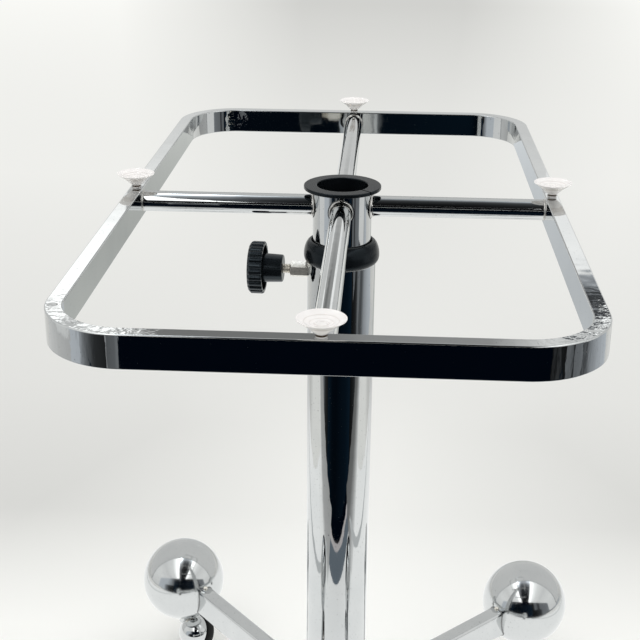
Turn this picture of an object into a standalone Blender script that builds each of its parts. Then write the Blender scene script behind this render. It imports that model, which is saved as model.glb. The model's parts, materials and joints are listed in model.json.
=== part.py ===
"""Height-adjustable rolling table stand: a bar frame on a telescoping column with four ball feet."""
import math

import bmesh
import bpy

# Fits and facets
GAP = 0.0003                 # clearance between pieces that touch or fit together
ROUND_STEPS = 36             # facets round the column, the inner tube and what fits them
BALL_STEPS = 24              # facets round a ball
CASTER_STEPS = 16            # facets round a caster's hood, wheel and tyre
SMALL_STEPS = 16             # facets round spokes, cups and small turned pieces
PIN_STEPS = 12               # facets round a caster's stem and axle
ARC_STEPS = 5                # facets along a quarter round in a turned profile
HEX_SIDES = 6
EDGE_STEPS = 1               # extra facets along a slab's rounded edge
WELD_DISTANCE = 0.000002     # points of an extruded outline closer than this are one point
SEAM_DISTANCE = 0.00001      # points of a turned outline closer than this are one point
SHARP_ANGLE = math.radians(35)

# Column and inner tube
COLUMN_RADIUS = 0.03175
COLUMN_WALL = 0.0015
COLUMN_LENGTH = 0.5435
COLUMN_FOOT_DROP = 0.002     # how far the column reaches below the legs
TUBE_RADIUS = 0.027
TUBE_WALL = 0.0015
TUBE_LENGTH = 0.480
TUBE_RISE = 0.0033           # top end of the inner tube above the frame's top face
FRAME_ABOVE_COLLAR = 0.0455  # from the collar's top to the frame's top face, with the stand lowered

# Guide collar, guide bush and plug
COLLAR_RADIUS = 0.0353
COLLAR_HEIGHT = 0.0207
COLLAR_LIP = 0.0010          # width of the collar's top edge
COLLAR_FOOT_ROUND = 0.0065   # height of the round at the collar's foot
COLLAR_SLEEVE = 0.030        # length of the sleeve inside the column
GUIDE_HEIGHT = 0.040
GUIDE_FLOOR = 0.004          # lip of the guide bush under the inner tube
PLUG_HEIGHT = 0.015
PLUG_FLANGE = 0.0022
PLUG_WALL = 0.0025

# Top frame, spokes and top bush
FRAME_WIDTH = 0.394
FRAME_DEPTH = 0.700
FRAME_CORNER = 0.062         # outer corner radius
FRAME_CORNER_STEPS = 7
BAR_HEIGHT = 0.0254
BAR_THICKNESS = 0.0127
BAR_WALL = 0.0015
BAR_EDGE = 0.0009            # rounding of the bar's long edges
SPOKE_RADIUS = 0.0095
SPOKE_WALL = 0.0015
BUSH_FLANGE_RADIUS = 0.0355
BUSH_FLANGE = 0.0032
BUSH_WALL = 0.0017
BUSH_SLEEVE = 0.025
BUSH_SPLIT = 0.0015          # width of the slot through one side of the bush
BUSH_SPLIT_AZIMUTH = -42     # degrees from +X

# Suction cups
CUP_RADIUS = 0.017
CUP_HEIGHT = 0.0134          # rim above the frame's top face
CUP_LAND = 0.0010            # width of the flat ring on the rim that the table top rests on
CUP_DISH = 0.0040            # depth of the cup's hollow face
CUP_RIM = 0.0008             # thickness of the rim
CUP_ARC_STEPS = 3
CUP_WAIST_RADIUS = 0.0098    # middle of the funnel under the dish
CUP_WAIST = 0.0079
CUP_NECK_RADIUS = 0.0042
CUP_NECK = 0.0024
CUP_FOOT_RADIUS = 0.0050
CUP_FOOT = 0.0012
CUP_HOLE_RADIUS = 0.0040     # hole in the frame's top wall
CUP_BARB = 0.0008            # how far the barb stands out past the hole
CUP_BARB_LENGTH = 0.0055

# Clamp
CLAMP_BELOW_COLLAR = 0.0108  # clamp axis below the collar's foot
STUD_RADIUS = 0.0047
STUD_SHOWN = 0.0070          # stud left bare between the nut and the knob
NUT_RADIUS = 0.0078          # across the corners, half
NUT_LENGTH = 0.0163          # from the column's skin outwards
NUT_CHAMFER = 0.0012
PAD_RADIUS = 0.0040
PAD_THICKNESS = 0.0022
KNOB_RADIUS = 0.0248
KNOB_RIM = 0.0125            # width of the fluted rim
KNOB_RIM_WALL = 0.0035
KNOB_FACE = 0.0050           # thickness of the knob's outer face
KNOB_EDGE = 0.0015
KNOB_LENGTH = 0.0317         # from the boss's end to the outer face
KNOB_BOSS_RADIUS = 0.0125    # at the boss's end
KNOB_BOSS_TAPER = 0.0012
KNOB_FLUTES = 24
KNOB_FLUTE_RADIUS = 0.0016

# Legs and balls
BASE_TURN = -2.9             # degrees that the base stands turned from the frame
LEG_AZIMUTHS = {"rear_right": 45, "rear_left": 135, "front_left": 225, "front_right": 315}
LEG_REACH = 0.3045           # from the column's axis to a ball's centre
LEG_HEIGHT = 0.038
LEG_WIDTH = 0.019
LEG_WALL = 0.0015
LEG_CORNER = 0.006
LEG_CORNER_STEPS = 3
LEG_DROP = 0.008             # leg's middle below the ball's centre
BALL_RADIUS = 0.0508
BALL_WALL = 0.0015
BALL_ARC_STEPS = 10

# Casters
CASTER_HEADINGS = {"rear_right": -100, "rear_left": 92, "front_left": 20, "front_right": 160}
AXLE_TILT = math.radians(30)  # rise of the axle towards the hood
CASTER_TRAIL = 0.018         # wheel's middle behind the swivel axis
TYRE_RING = 0.018            # radius of the tyre's ring
TYRE_ROUND = 0.006           # radius of the tyre's round tread
TYRE_ARC_STEPS = 6
WHEEL_RADIUS = 0.0127        # seat of the tyre
WHEEL_HUB_RADIUS = 0.007
WHEEL_WEB = 0.008
HOOD_RADIUS = 0.021
HOOD_DEPTH = 0.020
HOOD_WALL = 0.0018
HOOD_CLEARANCE = 0.002       # from the tyre's side to the hood's rim
HOOD_AXLE_BOSS = 0.0055
HOOD_AXLE_DEPTH = 0.0060     # solid crown left above the axle
AXLE_RADIUS = 0.003
AXLE_HEAD_RADIUS = 0.005
AXLE_HEAD = 0.0025
BOSS_RADIUS = 0.008
BOSS_HEIGHT = 0.008
BOSS_FLOOR = 0.0025
STEM_RADIUS = 0.0055
STEM_FOOT_RADIUS = 0.0045
STEM_FLANGE_RADIUS = 0.009
STEM_FLANGE = 0.0030
STEM_LENGTH = 0.034          # part of the stem above its flange
SOCKET_RADIUS = 0.0107
SOCKET_LENGTH = 0.040
SOCKET_PROUD = 0.0010        # socket's end below the ball

# Heights worked out from the floor up
WHEEL_Z = TYRE_RING * math.cos(AXLE_TILT) + TYRE_ROUND
WHEEL_OFFSET = TYRE_RING * math.sin(AXLE_TILT)
HOOD_RIM = TYRE_ROUND + HOOD_CLEARANCE
BOSS_RISE = (HOOD_RIM - GAP - (WHEEL_OFFSET - BOSS_RADIUS) * math.cos(AXLE_TILT)) / math.sin(AXLE_TILT)
BOSS_Z = WHEEL_Z + BOSS_RISE
FLANGE_Z = BOSS_Z + BOSS_HEIGHT + GAP
SOCKET_Z = FLANGE_Z + STEM_FLANGE + GAP
BALL_Z = SOCKET_Z + SOCKET_PROUD + BALL_RADIUS
LEG_Z = BALL_Z - LEG_DROP
COLUMN_Z = LEG_Z - LEG_HEIGHT / 2 - COLUMN_FOOT_DROP
COLLAR_Z = COLUMN_Z + COLUMN_LENGTH + GAP
FRAME_Z = COLLAR_Z + COLLAR_HEIGHT + FRAME_ABOVE_COLLAR
SPOKE_Z = FRAME_Z - BAR_HEIGHT / 2
CLAMP_Z = COLLAR_Z - CLAMP_BELOW_COLLAR
GUIDE_Z = FRAME_Z + TUBE_RISE - TUBE_LENGTH - GAP - GUIDE_FLOOR

# Distances along the clamp axis, from the column's axis outwards
PAD_START = TUBE_RADIUS + GAP
STUD_START = PAD_START + PAD_THICKNESS + GAP
NUT_END = COLUMN_RADIUS + NUT_LENGTH
KNOB_START = NUT_END + STUD_SHOWN
KNOB_END = KNOB_START + KNOB_LENGTH
STUD_END = KNOB_END - KNOB_FACE - GAP

BORE_RADIUS = STUD_RADIUS + GAP
COLUMN_BORE = COLUMN_RADIUS - COLUMN_WALL
TUBE_BORE = TUBE_RADIUS - TUBE_WALL

for old in list(bpy.data.objects):
    bpy.data.objects.remove(old, do_unlink=True)

parts = bpy.data.collections.new("rolling_table_stand")
cutters = bpy.data.collections.new("cutters")
for collection in (parts, cutters):
    bpy.context.scene.collection.children.link(collection)


def material(name, colour, roughness, metallic=0.0):
    """A plain finish."""
    made = bpy.data.materials.new(name)
    made.use_nodes = True
    shader = made.node_tree.nodes["Principled BSDF"]
    shader.inputs["Base Color"].default_value = (*colour, 1.0)
    shader.inputs["Roughness"].default_value = roughness
    shader.inputs["Metallic"].default_value = metallic
    return made


CHROME = material("chrome", (0.78, 0.79, 0.80), 0.06, 1.0)
STEEL = material("steel", (0.60, 0.60, 0.58), 0.25, 1.0)
BLACK_PLASTIC = material("black_plastic", (0.018, 0.018, 0.020), 0.35)
RUBBER = material("rubber", (0.020, 0.020, 0.020), 0.7)
CLEAR_PVC = material("clear_pvc", (0.86, 0.84, 0.80), 0.25)
NYLON = material("nylon", (0.75, 0.73, 0.66), 0.5)


def axis_empty(name, location=(0, 0, 0), rotation=(0, 0, 0), parent=None):
    """A frame that carries the pieces of one body or one foot."""
    empty = bpy.data.objects.new(name, None)
    empty.location = location
    empty.rotation_euler = rotation
    empty.parent = parent
    parts.objects.link(empty)
    return empty


def add_part(name, mesh, finish, parent, location=(0, 0, 0), rotation=(0, 0, 0)):
    """One piece of the stand."""
    part = bpy.data.objects.new(name, mesh)
    part.data.materials.append(finish)
    part.parent = parent
    part.location = location
    part.rotation_euler = rotation
    parts.objects.link(part)
    return part


def add_cutter(name, mesh, parent, location=(0, 0, 0), rotation=(0, 0, 0)):
    """A guide solid that a boolean takes away from a piece, or adds to it."""
    cutter = bpy.data.objects.new(name, mesh)
    cutter.parent = parent
    cutter.location = location
    cutter.rotation_euler = rotation
    cutter.hide_render = True
    cutter.display_type = "WIRE"
    cutters.objects.link(cutter)
    return cutter


def boolean(part, other, operation="DIFFERENCE"):
    """Cut one solid from another, or join it on."""
    modifier = part.modifiers.new(operation.lower(), "BOOLEAN")
    modifier.operation = operation
    modifier.object = other
    modifier.solver = "EXACT"


def profile_mesh(name, points, ring=False):
    """A turned piece's outline of (radius, height), open between two points on the axis or a closed ring."""
    edges = [(i, i + 1) for i in range(len(points) - 1)]
    if ring:
        edges.append((len(points) - 1, 0))
    mesh = bpy.data.meshes.new(name)
    mesh.from_pydata([(radius, 0, height) for radius, height in points], edges, [])
    return mesh


def turn(shape, steps):
    """Turn an object's outline about its Z axis."""
    modifier = shape.modifiers.new("turn", "SCREW")
    modifier.angle = math.tau
    modifier.steps = steps
    modifier.render_steps = steps
    modifier.use_merge_vertices = True
    modifier.merge_threshold = SEAM_DISTANCE


def turned(name, points, steps, finish, parent, location=(0, 0, 0), rotation=(0, 0, 0), ring=False):
    """A turned piece."""
    part = add_part(name, profile_mesh(name, points, ring), finish, parent, location, rotation)
    turn(part, steps)
    return part


def round_cutter(name, radius, low, high, steps, parent, location=(0, 0, 0), rotation=(0, 0, 0)):
    """A solid cylinder along its own Z axis."""
    points = [(0, high), (radius, high), (radius, low), (0, low)]
    cutter = add_cutter(name, profile_mesh(name, points), parent, location, rotation)
    turn(cutter, steps)
    return cutter


def tube_profile(radius, wall, low, high):
    """The closed outline of a plain tube."""
    return [(radius, high), (radius, low), (radius - wall, low), (radius - wall, high)]


def arc(centre, radii, start, end, steps):
    """Points on an elliptic arc; angles in degrees from +radius towards +height."""
    angles = [math.radians(start + (end - start) * i / steps) for i in range(steps + 1)]
    return [(centre[0] + radii[0] * math.cos(a), centre[1] + radii[1] * math.sin(a)) for a in angles]


def rounded_rectangle(width, depth, radius, steps):
    """Outline of a rectangle with round corners, anticlockwise."""
    points = []
    for corner, (sx, sy) in enumerate(((1, 1), (-1, 1), (-1, -1), (1, -1))):
        centre = (sx * (width / 2 - radius), sy * (depth / 2 - radius))
        points += arc(centre, (radius, radius), 90 * corner, 90 * corner + 90, steps)
    return points


def slab_mesh(name, outlines, half_depth, edge=0.0):
    """A flat outline with its holes, extruded both ways along Z, with its long edges rounded."""
    curve = bpy.data.curves.new(name, "CURVE")
    curve.dimensions = "2D"
    curve.fill_mode = "BOTH"
    curve.extrude = half_depth - edge
    curve.bevel_depth = edge
    curve.bevel_resolution = EDGE_STEPS
    curve.offset = -edge
    for outline in outlines:
        spline = curve.splines.new("POLY")
        spline.points.add(len(outline) - 1)
        spline.use_cyclic_u = True
        for point, (x, y) in zip(spline.points, outline):
            point.co = (x, y, 0, 1)
    shape = bpy.data.objects.new(name, curve)
    parts.objects.link(shape)
    depsgraph = bpy.context.evaluated_depsgraph_get()
    mesh = bpy.data.meshes.new_from_object(shape.evaluated_get(depsgraph))
    bpy.data.objects.remove(shape, do_unlink=True)
    welded = bmesh.new()
    welded.from_mesh(mesh)
    bmesh.ops.remove_doubles(welded, verts=welded.verts, dist=WELD_DISTANCE)
    bmesh.ops.recalc_face_normals(welded, faces=welded.faces)
    welded.to_mesh(mesh)
    welded.free()
    mesh.materials.clear()
    mesh.name = name
    return mesh


def make_column(base):
    """Outer tube, guide collar, threaded standoff and foot plug."""
    inward = (0, -math.pi / 2, 0)
    clamp_hole = round_cutter("clamp_hole", BORE_RADIUS + GAP, 0, NUT_END + NUT_LENGTH, SMALL_STEPS, base,
                              (0, 0, CLAMP_Z), inward)
    column = turned("column_tube", tube_profile(COLUMN_RADIUS, COLUMN_WALL, 0, COLUMN_LENGTH), ROUND_STEPS,
                    CHROME, base, (0, 0, COLUMN_Z), ring=True)
    boolean(column, clamp_hole)

    bore = TUBE_RADIUS + GAP
    sleeve = COLUMN_BORE - GAP
    shoulder = (bore + COLLAR_LIP, COLLAR_FOOT_ROUND)
    bell = (COLLAR_RADIUS - shoulder[0], COLLAR_HEIGHT - COLLAR_FOOT_ROUND)
    foot = (COLLAR_RADIUS - COLUMN_RADIUS, COLLAR_FOOT_ROUND)
    outline = arc(shoulder, bell, 90, 0, ARC_STEPS)
    outline += arc((COLUMN_RADIUS, COLLAR_FOOT_ROUND), foot, 0, -90, ARC_STEPS)[1:]
    outline += [(sleeve, 0), (sleeve, -COLLAR_SLEEVE), (bore, -COLLAR_SLEEVE), (bore, COLLAR_HEIGHT)]
    collar = turned("column_collar", outline, ROUND_STEPS, BLACK_PLASTIC, base, (0, 0, COLLAR_Z), ring=True)
    boolean(collar, clamp_hole)

    outline = [(0, NUT_END), (NUT_RADIUS - NUT_CHAMFER, NUT_END), (NUT_RADIUS, NUT_END - NUT_CHAMFER),
               (NUT_RADIUS, COLUMN_BORE), (0, COLUMN_BORE)]
    nut = turned("clamp_nut", outline, HEX_SIDES, STEEL, base, (0, 0, CLAMP_Z), inward)
    nut_bore = round_cutter("nut_bore", BORE_RADIUS, 0, NUT_END + NUT_LENGTH, SMALL_STEPS, base,
                            (0, 0, CLAMP_Z), inward)
    column_skin = round_cutter("column_skin", COLUMN_RADIUS + GAP, 0, COLUMN_LENGTH, ROUND_STEPS, base,
                               (0, 0, COLUMN_Z))
    boolean(nut, column_skin)
    boolean(nut, nut_bore)

    floor = PLUG_FLANGE
    foot = -GAP - PLUG_FLANGE
    outline = [(0, floor), (sleeve - PLUG_WALL, floor), (sleeve - PLUG_WALL, PLUG_HEIGHT),
               (sleeve, PLUG_HEIGHT), (sleeve, -GAP), (COLUMN_RADIUS, -GAP), (COLUMN_RADIUS, foot), (0, foot)]
    turned("column_foot_plug", outline, ROUND_STEPS, BLACK_PLASTIC, base, (0, 0, COLUMN_Z))
    return column_skin


def make_top(top):
    """Inner tube, flanged bush, spokes and bar frame."""
    tube_z = FRAME_Z + TUBE_RISE
    turned("inner_tube", tube_profile(TUBE_RADIUS, TUBE_WALL, -TUBE_LENGTH, 0), ROUND_STEPS, CHROME, top,
           (0, 0, tube_z), ring=True)

    sleeve = TUBE_BORE - GAP
    hole = sleeve - BUSH_WALL
    outline = [(BUSH_FLANGE_RADIUS - BUSH_FLANGE / 4, BUSH_FLANGE), (BUSH_FLANGE_RADIUS, BUSH_FLANGE * 3 / 4),
               (BUSH_FLANGE_RADIUS, 0), (sleeve, 0), (sleeve, -BUSH_SLEEVE), (hole, -BUSH_SLEEVE),
               (hole, BUSH_FLANGE)]
    bush = turned("top_bush", outline, ROUND_STEPS, BLACK_PLASTIC, top, (0, 0, tube_z + GAP), ring=True)
    slot = [(0, -BUSH_SPLIT / 2), (BUSH_FLANGE_RADIUS * 2, -BUSH_SPLIT / 2),
            (BUSH_FLANGE_RADIUS * 2, BUSH_SPLIT / 2), (0, BUSH_SPLIT / 2)]
    boolean(bush, add_cutter("bush_split", slab_mesh("bush_split", [slot], BUSH_SLEEVE * 2), top,
                             (0, 0, tube_z), (0, 0, math.radians(BUSH_SPLIT_AZIMUTH))))

    tube_skin = round_cutter("tube_skin", TUBE_RADIUS + GAP, -TUBE_LENGTH, 0, ROUND_STEPS, top,
                             (0, 0, tube_z))
    half_width = FRAME_WIDTH / 2
    half_depth = FRAME_DEPTH / 2
    reaches = {"right": half_width, "rear": half_depth, "left": half_width, "front": half_depth}
    for side, (name, reach) in enumerate(reaches.items()):
        outline = tube_profile(SPOKE_RADIUS, SPOKE_WALL, TUBE_BORE, reach - BAR_THICKNESS - GAP)
        spoke = turned("spoke_" + name, outline, SMALL_STEPS, CHROME, top, (0, 0, SPOKE_Z),
                       (0, math.pi / 2, side * math.pi / 2), ring=True)
        boolean(spoke, tube_skin)

    bar = ring_bar("top_frame", 0, BAR_HEIGHT / 2, BAR_EDGE)
    frame = add_part("top_frame", bar, CHROME, top, (0, 0, SPOKE_Z))
    hollow = ring_bar("bar_hollow", BAR_WALL, BAR_HEIGHT / 2 - BAR_WALL)
    boolean(frame, add_cutter("bar_hollow", hollow, top, (0, 0, SPOKE_Z)))
    for side, (name, reach) in enumerate(reaches.items()):
        angle = side * math.pi / 2
        middle = reach - BAR_THICKNESS / 2
        place = (middle * math.cos(angle), middle * math.sin(angle), FRAME_Z)
        cup_hole = round_cutter("cup_hole_" + name, CUP_HOLE_RADIUS, -2 * BAR_WALL, BAR_WALL, SMALL_STEPS,
                                top, place)
        boolean(frame, cup_hole)
        make_cup("suction_cup_" + name, top, place)


def ring_bar(name, inset, half_height, edge=0.0):
    """The frame's bar as a rounded rectangular ring, each face set in by the same amount."""
    outer = rounded_rectangle(FRAME_WIDTH - 2 * inset, FRAME_DEPTH - 2 * inset, FRAME_CORNER - inset,
                              FRAME_CORNER_STEPS)
    across = 2 * (BAR_THICKNESS - inset)
    corner = FRAME_CORNER - BAR_THICKNESS + inset
    inner = rounded_rectangle(FRAME_WIDTH - across, FRAME_DEPTH - across, corner, FRAME_CORNER_STEPS)
    return slab_mesh(name, [outer, inner[::-1]], half_height, edge)


def make_cup(name, top, place):
    """A suction cup, face up, plugged into the frame with a barb."""
    plug = CUP_HOLE_RADIUS - GAP
    barb_z = -BAR_WALL - GAP
    outline = arc((0, CUP_HEIGHT), (CUP_RADIUS - CUP_LAND, CUP_DISH), -90, 0, CUP_ARC_STEPS)
    outline += [(CUP_RADIUS, CUP_HEIGHT), (CUP_RADIUS, CUP_HEIGHT - CUP_RIM), (CUP_WAIST_RADIUS, CUP_WAIST),
                (CUP_NECK_RADIUS, CUP_NECK), (CUP_FOOT_RADIUS, CUP_FOOT), (CUP_FOOT_RADIUS, GAP), (plug, GAP),
                (plug, barb_z), (plug + CUP_BARB, barb_z), (plug - CUP_BARB, barb_z - CUP_BARB_LENGTH),
                (0, barb_z - CUP_BARB_LENGTH)]
    turned(name, outline, SMALL_STEPS, CLEAR_PVC, top, place)


def make_guide(lift):
    """Guide bush round the lower end of the inner tube."""
    outer = COLUMN_BORE - GAP
    bore = TUBE_RADIUS + GAP
    outline = [(outer, GUIDE_HEIGHT), (outer, 0), (TUBE_BORE, 0), (TUBE_BORE, GUIDE_FLOOR),
               (bore, GUIDE_FLOOR), (bore, GUIDE_HEIGHT)]
    turned("lower_guide_bush", outline, ROUND_STEPS, NYLON, lift, (0, 0, GUIDE_Z), ring=True)


def make_clamp(clamp):
    """Pad, threaded stud and fluted knob along the clamp axis."""
    outline = [(0, STUD_START - GAP), (PAD_RADIUS, STUD_START - GAP), (PAD_RADIUS, PAD_START), (0, PAD_START)]
    turned("clamp_pad", outline, SMALL_STEPS, NYLON, clamp)

    outline = [(0, STUD_END), (STUD_RADIUS, STUD_END), (STUD_RADIUS, STUD_START), (0, STUD_START)]
    turned("clamp_stud", outline, SMALL_STEPS, STEEL, clamp)

    rim_back = KNOB_END - KNOB_RIM
    face_back = KNOB_END - KNOB_FACE
    boss_wide = KNOB_BOSS_RADIUS + KNOB_BOSS_TAPER
    outline = [(0, KNOB_END), (KNOB_RADIUS - KNOB_EDGE * 2, KNOB_END), (KNOB_RADIUS, KNOB_END - KNOB_EDGE),
               (KNOB_RADIUS, rim_back + KNOB_EDGE), (KNOB_RADIUS - KNOB_EDGE, rim_back),
               (KNOB_RADIUS - KNOB_RIM_WALL, rim_back), (KNOB_RADIUS - KNOB_RIM_WALL, face_back),
               (boss_wide, face_back), (KNOB_BOSS_RADIUS, KNOB_START + KNOB_EDGE),
               (KNOB_BOSS_RADIUS - KNOB_EDGE, KNOB_START), (BORE_RADIUS, KNOB_START),
               (BORE_RADIUS, face_back), (0, face_back)]
    knob = turned("clamp_knob", outline, KNOB_FLUTES, BLACK_PLASTIC, clamp)
    flutes = bmesh.new()
    for flute in range(KNOB_FLUTES):
        angle = math.tau * flute / KNOB_FLUTES
        made = bmesh.ops.create_cone(flutes, cap_ends=True, segments=HEX_SIDES, radius1=KNOB_FLUTE_RADIUS,
                                     radius2=KNOB_FLUTE_RADIUS, depth=KNOB_RIM * 2)
        away = KNOB_RADIUS + KNOB_FLUTE_RADIUS / 2
        bmesh.ops.translate(flutes, verts=made["verts"],
                            vec=(away * math.cos(angle), away * math.sin(angle), KNOB_END - KNOB_RIM / 2))
    mesh = bpy.data.meshes.new("knob_flutes")
    flutes.to_mesh(mesh)
    flutes.free()
    boolean(knob, add_cutter("knob_flutes", mesh, clamp))


def ball_arc(radius, hole, steps):
    """A ball's outline from its top down to the edge of the hole in its underside."""
    return arc((0, 0), (radius, radius), 90, -math.degrees(math.acos(hole / radius)), steps)


def make_foot(name, azimuth, base, column_skin):
    """One leg with its ball, caster socket and caster."""
    foot = axis_empty("foot_" + name, rotation=(0, 0, math.radians(azimuth)), parent=base)
    start = COLUMN_BORE
    outer = rounded_rectangle(LEG_WIDTH, LEG_HEIGHT, LEG_CORNER, LEG_CORNER_STEPS)
    inner = rounded_rectangle(LEG_WIDTH - 2 * LEG_WALL, LEG_HEIGHT - 2 * LEG_WALL, LEG_CORNER - LEG_WALL, 1)
    length = LEG_REACH - start
    leg = add_part("leg_" + name, slab_mesh("leg_" + name, [outer, inner[::-1]], length / 2), CHROME, foot,
                   (start + length / 2, 0, LEG_Z), (math.pi / 2, 0, math.pi / 2))
    boolean(leg, column_skin)

    ball_place = (LEG_REACH, 0, BALL_Z)
    hole = SOCKET_RADIUS + GAP
    shell = ball_arc(BALL_RADIUS, hole, BALL_ARC_STEPS)
    shell += ball_arc(BALL_RADIUS - BALL_WALL, hole, BALL_ARC_STEPS // 2)[::-1]
    turned("ball_" + name, shell, BALL_STEPS, CHROME, foot, ball_place)
    solid = ball_arc(BALL_RADIUS + GAP, hole, BALL_ARC_STEPS)
    solid.append((0, solid[-1][1]))
    ball_skin = add_cutter("ball_skin_" + name, profile_mesh("ball_skin", solid), foot, ball_place)
    turn(ball_skin, BALL_STEPS)
    boolean(leg, ball_skin)

    outline = tube_profile(SOCKET_RADIUS, SOCKET_RADIUS - STEM_RADIUS - GAP, 0, SOCKET_LENGTH)
    turned("caster_socket_" + name, outline, PIN_STEPS, STEEL, foot, (LEG_REACH, 0, SOCKET_Z), ring=True)
    heading = math.radians(CASTER_HEADINGS[name])
    make_caster(name, axis_empty("swivel_" + name, (LEG_REACH, 0, 0), (0, 0, heading), foot))


def make_caster(name, swivel):
    """A hooded caster; the swivel's +X is the way the hood faces and +Y is where the wheel trails."""
    stem_top = SOCKET_Z + STEM_LENGTH
    stem_foot = BOSS_Z + BOSS_FLOOR + GAP
    flange_top = SOCKET_Z - GAP
    outline = [(0, stem_top), (STEM_RADIUS, stem_top), (STEM_RADIUS, flange_top),
               (STEM_FLANGE_RADIUS, flange_top), (STEM_FLANGE_RADIUS, FLANGE_Z),
               (STEM_FOOT_RADIUS, FLANGE_Z), (STEM_FOOT_RADIUS, stem_foot), (0, stem_foot)]
    turned("caster_stem_" + name, outline, PIN_STEPS, STEEL, swivel)

    axle = axis_empty("axle_" + name, (-WHEEL_OFFSET, CASTER_TRAIL, WHEEL_Z),
                      (0, math.pi / 2 - AXLE_TILT, 0), swivel)
    crown = HOOD_RIM + HOOD_DEPTH
    inside = (HOOD_RADIUS - HOOD_WALL, HOOD_DEPTH - HOOD_WALL)
    boss_angle = math.degrees(math.acos(HOOD_AXLE_BOSS / inside[0]))
    axle_bore = AXLE_RADIUS + GAP
    outline = arc((0, HOOD_RIM), (HOOD_RADIUS, HOOD_DEPTH), 90, 0, ARC_STEPS)
    outline += arc((0, HOOD_RIM), inside, 0, boss_angle, ARC_STEPS - 2)
    outline += [(HOOD_AXLE_BOSS, HOOD_RIM), (axle_bore, HOOD_RIM), (axle_bore, crown - HOOD_AXLE_DEPTH),
                (0, crown - HOOD_AXLE_DEPTH)]
    hood = turned("caster_hood_" + name, outline, CASTER_STEPS, CHROME, axle)
    boss = round_cutter("stem_boss_" + name, BOSS_RADIUS, BOSS_Z, FLANGE_Z + STEM_FLANGE, PIN_STEPS, swivel)
    boss_top = BOSS_Z + BOSS_HEIGHT
    seat = STEM_FLANGE_RADIUS + 2 * GAP
    hole = STEM_FOOT_RADIUS + GAP
    outline = [(0, BALL_Z), (seat, BALL_Z), (seat, boss_top), (hole, boss_top), (hole, BOSS_Z + BOSS_FLOOR),
               (0, BOSS_Z + BOSS_FLOOR)]
    stem_seat = add_cutter("stem_seat_" + name, profile_mesh("stem_seat", outline), swivel)
    turn(stem_seat, PIN_STEPS)
    boolean(hood, boss, "UNION")
    boolean(hood, stem_seat)

    hub = HOOD_RIM - GAP
    axle_end = crown - HOOD_AXLE_DEPTH - GAP
    outline = [(0, axle_end), (AXLE_RADIUS, axle_end), (AXLE_RADIUS, -hub - GAP),
               (AXLE_HEAD_RADIUS, -hub - GAP), (AXLE_HEAD_RADIUS, -hub - AXLE_HEAD), (0, -hub - AXLE_HEAD)]
    turned("caster_axle_" + name, outline, PIN_STEPS, STEEL, axle)

    web = WHEEL_WEB / 2
    outline = [(WHEEL_HUB_RADIUS, hub), (WHEEL_HUB_RADIUS, web), (WHEEL_RADIUS, web), (WHEEL_RADIUS, -web),
               (WHEEL_HUB_RADIUS, -web), (WHEEL_HUB_RADIUS, -hub), (axle_bore, -hub), (axle_bore, hub)]
    turned("caster_wheel_" + name, outline, CASTER_STEPS, STEEL, axle, ring=True)
    outline = arc((TYRE_RING, 0), (TYRE_ROUND, TYRE_ROUND), 90, -90, TYRE_ARC_STEPS)
    outline += [(WHEEL_RADIUS + GAP, -TYRE_ROUND), (WHEEL_RADIUS + GAP, TYRE_ROUND)]
    turned("caster_tyre_" + name, outline, CASTER_STEPS, RUBBER, axle, ring=True)


def keep_meshes():
    """Keep each piece's finished mesh, smooth on its round faces and sharp at its edges."""
    depsgraph = bpy.context.evaluated_depsgraph_get()
    pieces = [piece for piece in parts.objects if piece.type == "MESH"]
    finished = [bpy.data.meshes.new_from_object(piece.evaluated_get(depsgraph)) for piece in pieces]
    for piece, mesh in zip(pieces, finished):
        mesh.name = piece.name
        mesh.shade_smooth()
        mesh.set_sharp_from_angle(angle=SHARP_ANGLE)
        piece.modifiers.clear()
        piece.data = mesh


base_body = axis_empty("base", rotation=(0, 0, math.radians(BASE_TURN)))
top_body = axis_empty("lift_axis")
clamp_body = axis_empty("clamp_axis", (0, 0, CLAMP_Z), (0, -math.pi / 2, 0), base_body)
skin_of_column = make_column(base_body)
make_guide(top_body)
make_top(top_body)
make_clamp(clamp_body)
for foot_name, foot_azimuth in LEG_AZIMUTHS.items():
    make_foot(foot_name, foot_azimuth, base_body, skin_of_column)
keep_meshes()
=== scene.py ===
"""Looks for the rolling table stand: chrome, plastic, rubber and clear plastic pieces round the frame."""
import json
import math

import bmesh
import bpy
import numpy as np
from mathutils import Matrix, Vector, noise


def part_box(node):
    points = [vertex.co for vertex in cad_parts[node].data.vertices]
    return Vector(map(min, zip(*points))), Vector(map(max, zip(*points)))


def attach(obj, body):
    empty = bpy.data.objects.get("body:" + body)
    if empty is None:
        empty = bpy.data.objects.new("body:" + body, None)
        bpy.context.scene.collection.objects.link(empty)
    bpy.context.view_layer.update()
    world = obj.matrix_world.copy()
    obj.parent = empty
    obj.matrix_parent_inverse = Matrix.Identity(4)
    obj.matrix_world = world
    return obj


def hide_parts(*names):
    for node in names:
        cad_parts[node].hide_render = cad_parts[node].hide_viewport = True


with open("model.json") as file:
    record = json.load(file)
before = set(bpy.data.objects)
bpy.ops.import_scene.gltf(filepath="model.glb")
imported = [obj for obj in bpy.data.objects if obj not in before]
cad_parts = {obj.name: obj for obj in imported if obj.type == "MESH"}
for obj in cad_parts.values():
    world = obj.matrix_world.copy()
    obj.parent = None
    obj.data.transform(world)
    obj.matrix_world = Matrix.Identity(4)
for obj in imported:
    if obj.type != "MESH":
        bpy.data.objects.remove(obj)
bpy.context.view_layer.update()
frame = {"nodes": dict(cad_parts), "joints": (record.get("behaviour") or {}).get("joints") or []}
joints = {joint["name"]: joint for joint in frame["joints"]}

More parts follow.
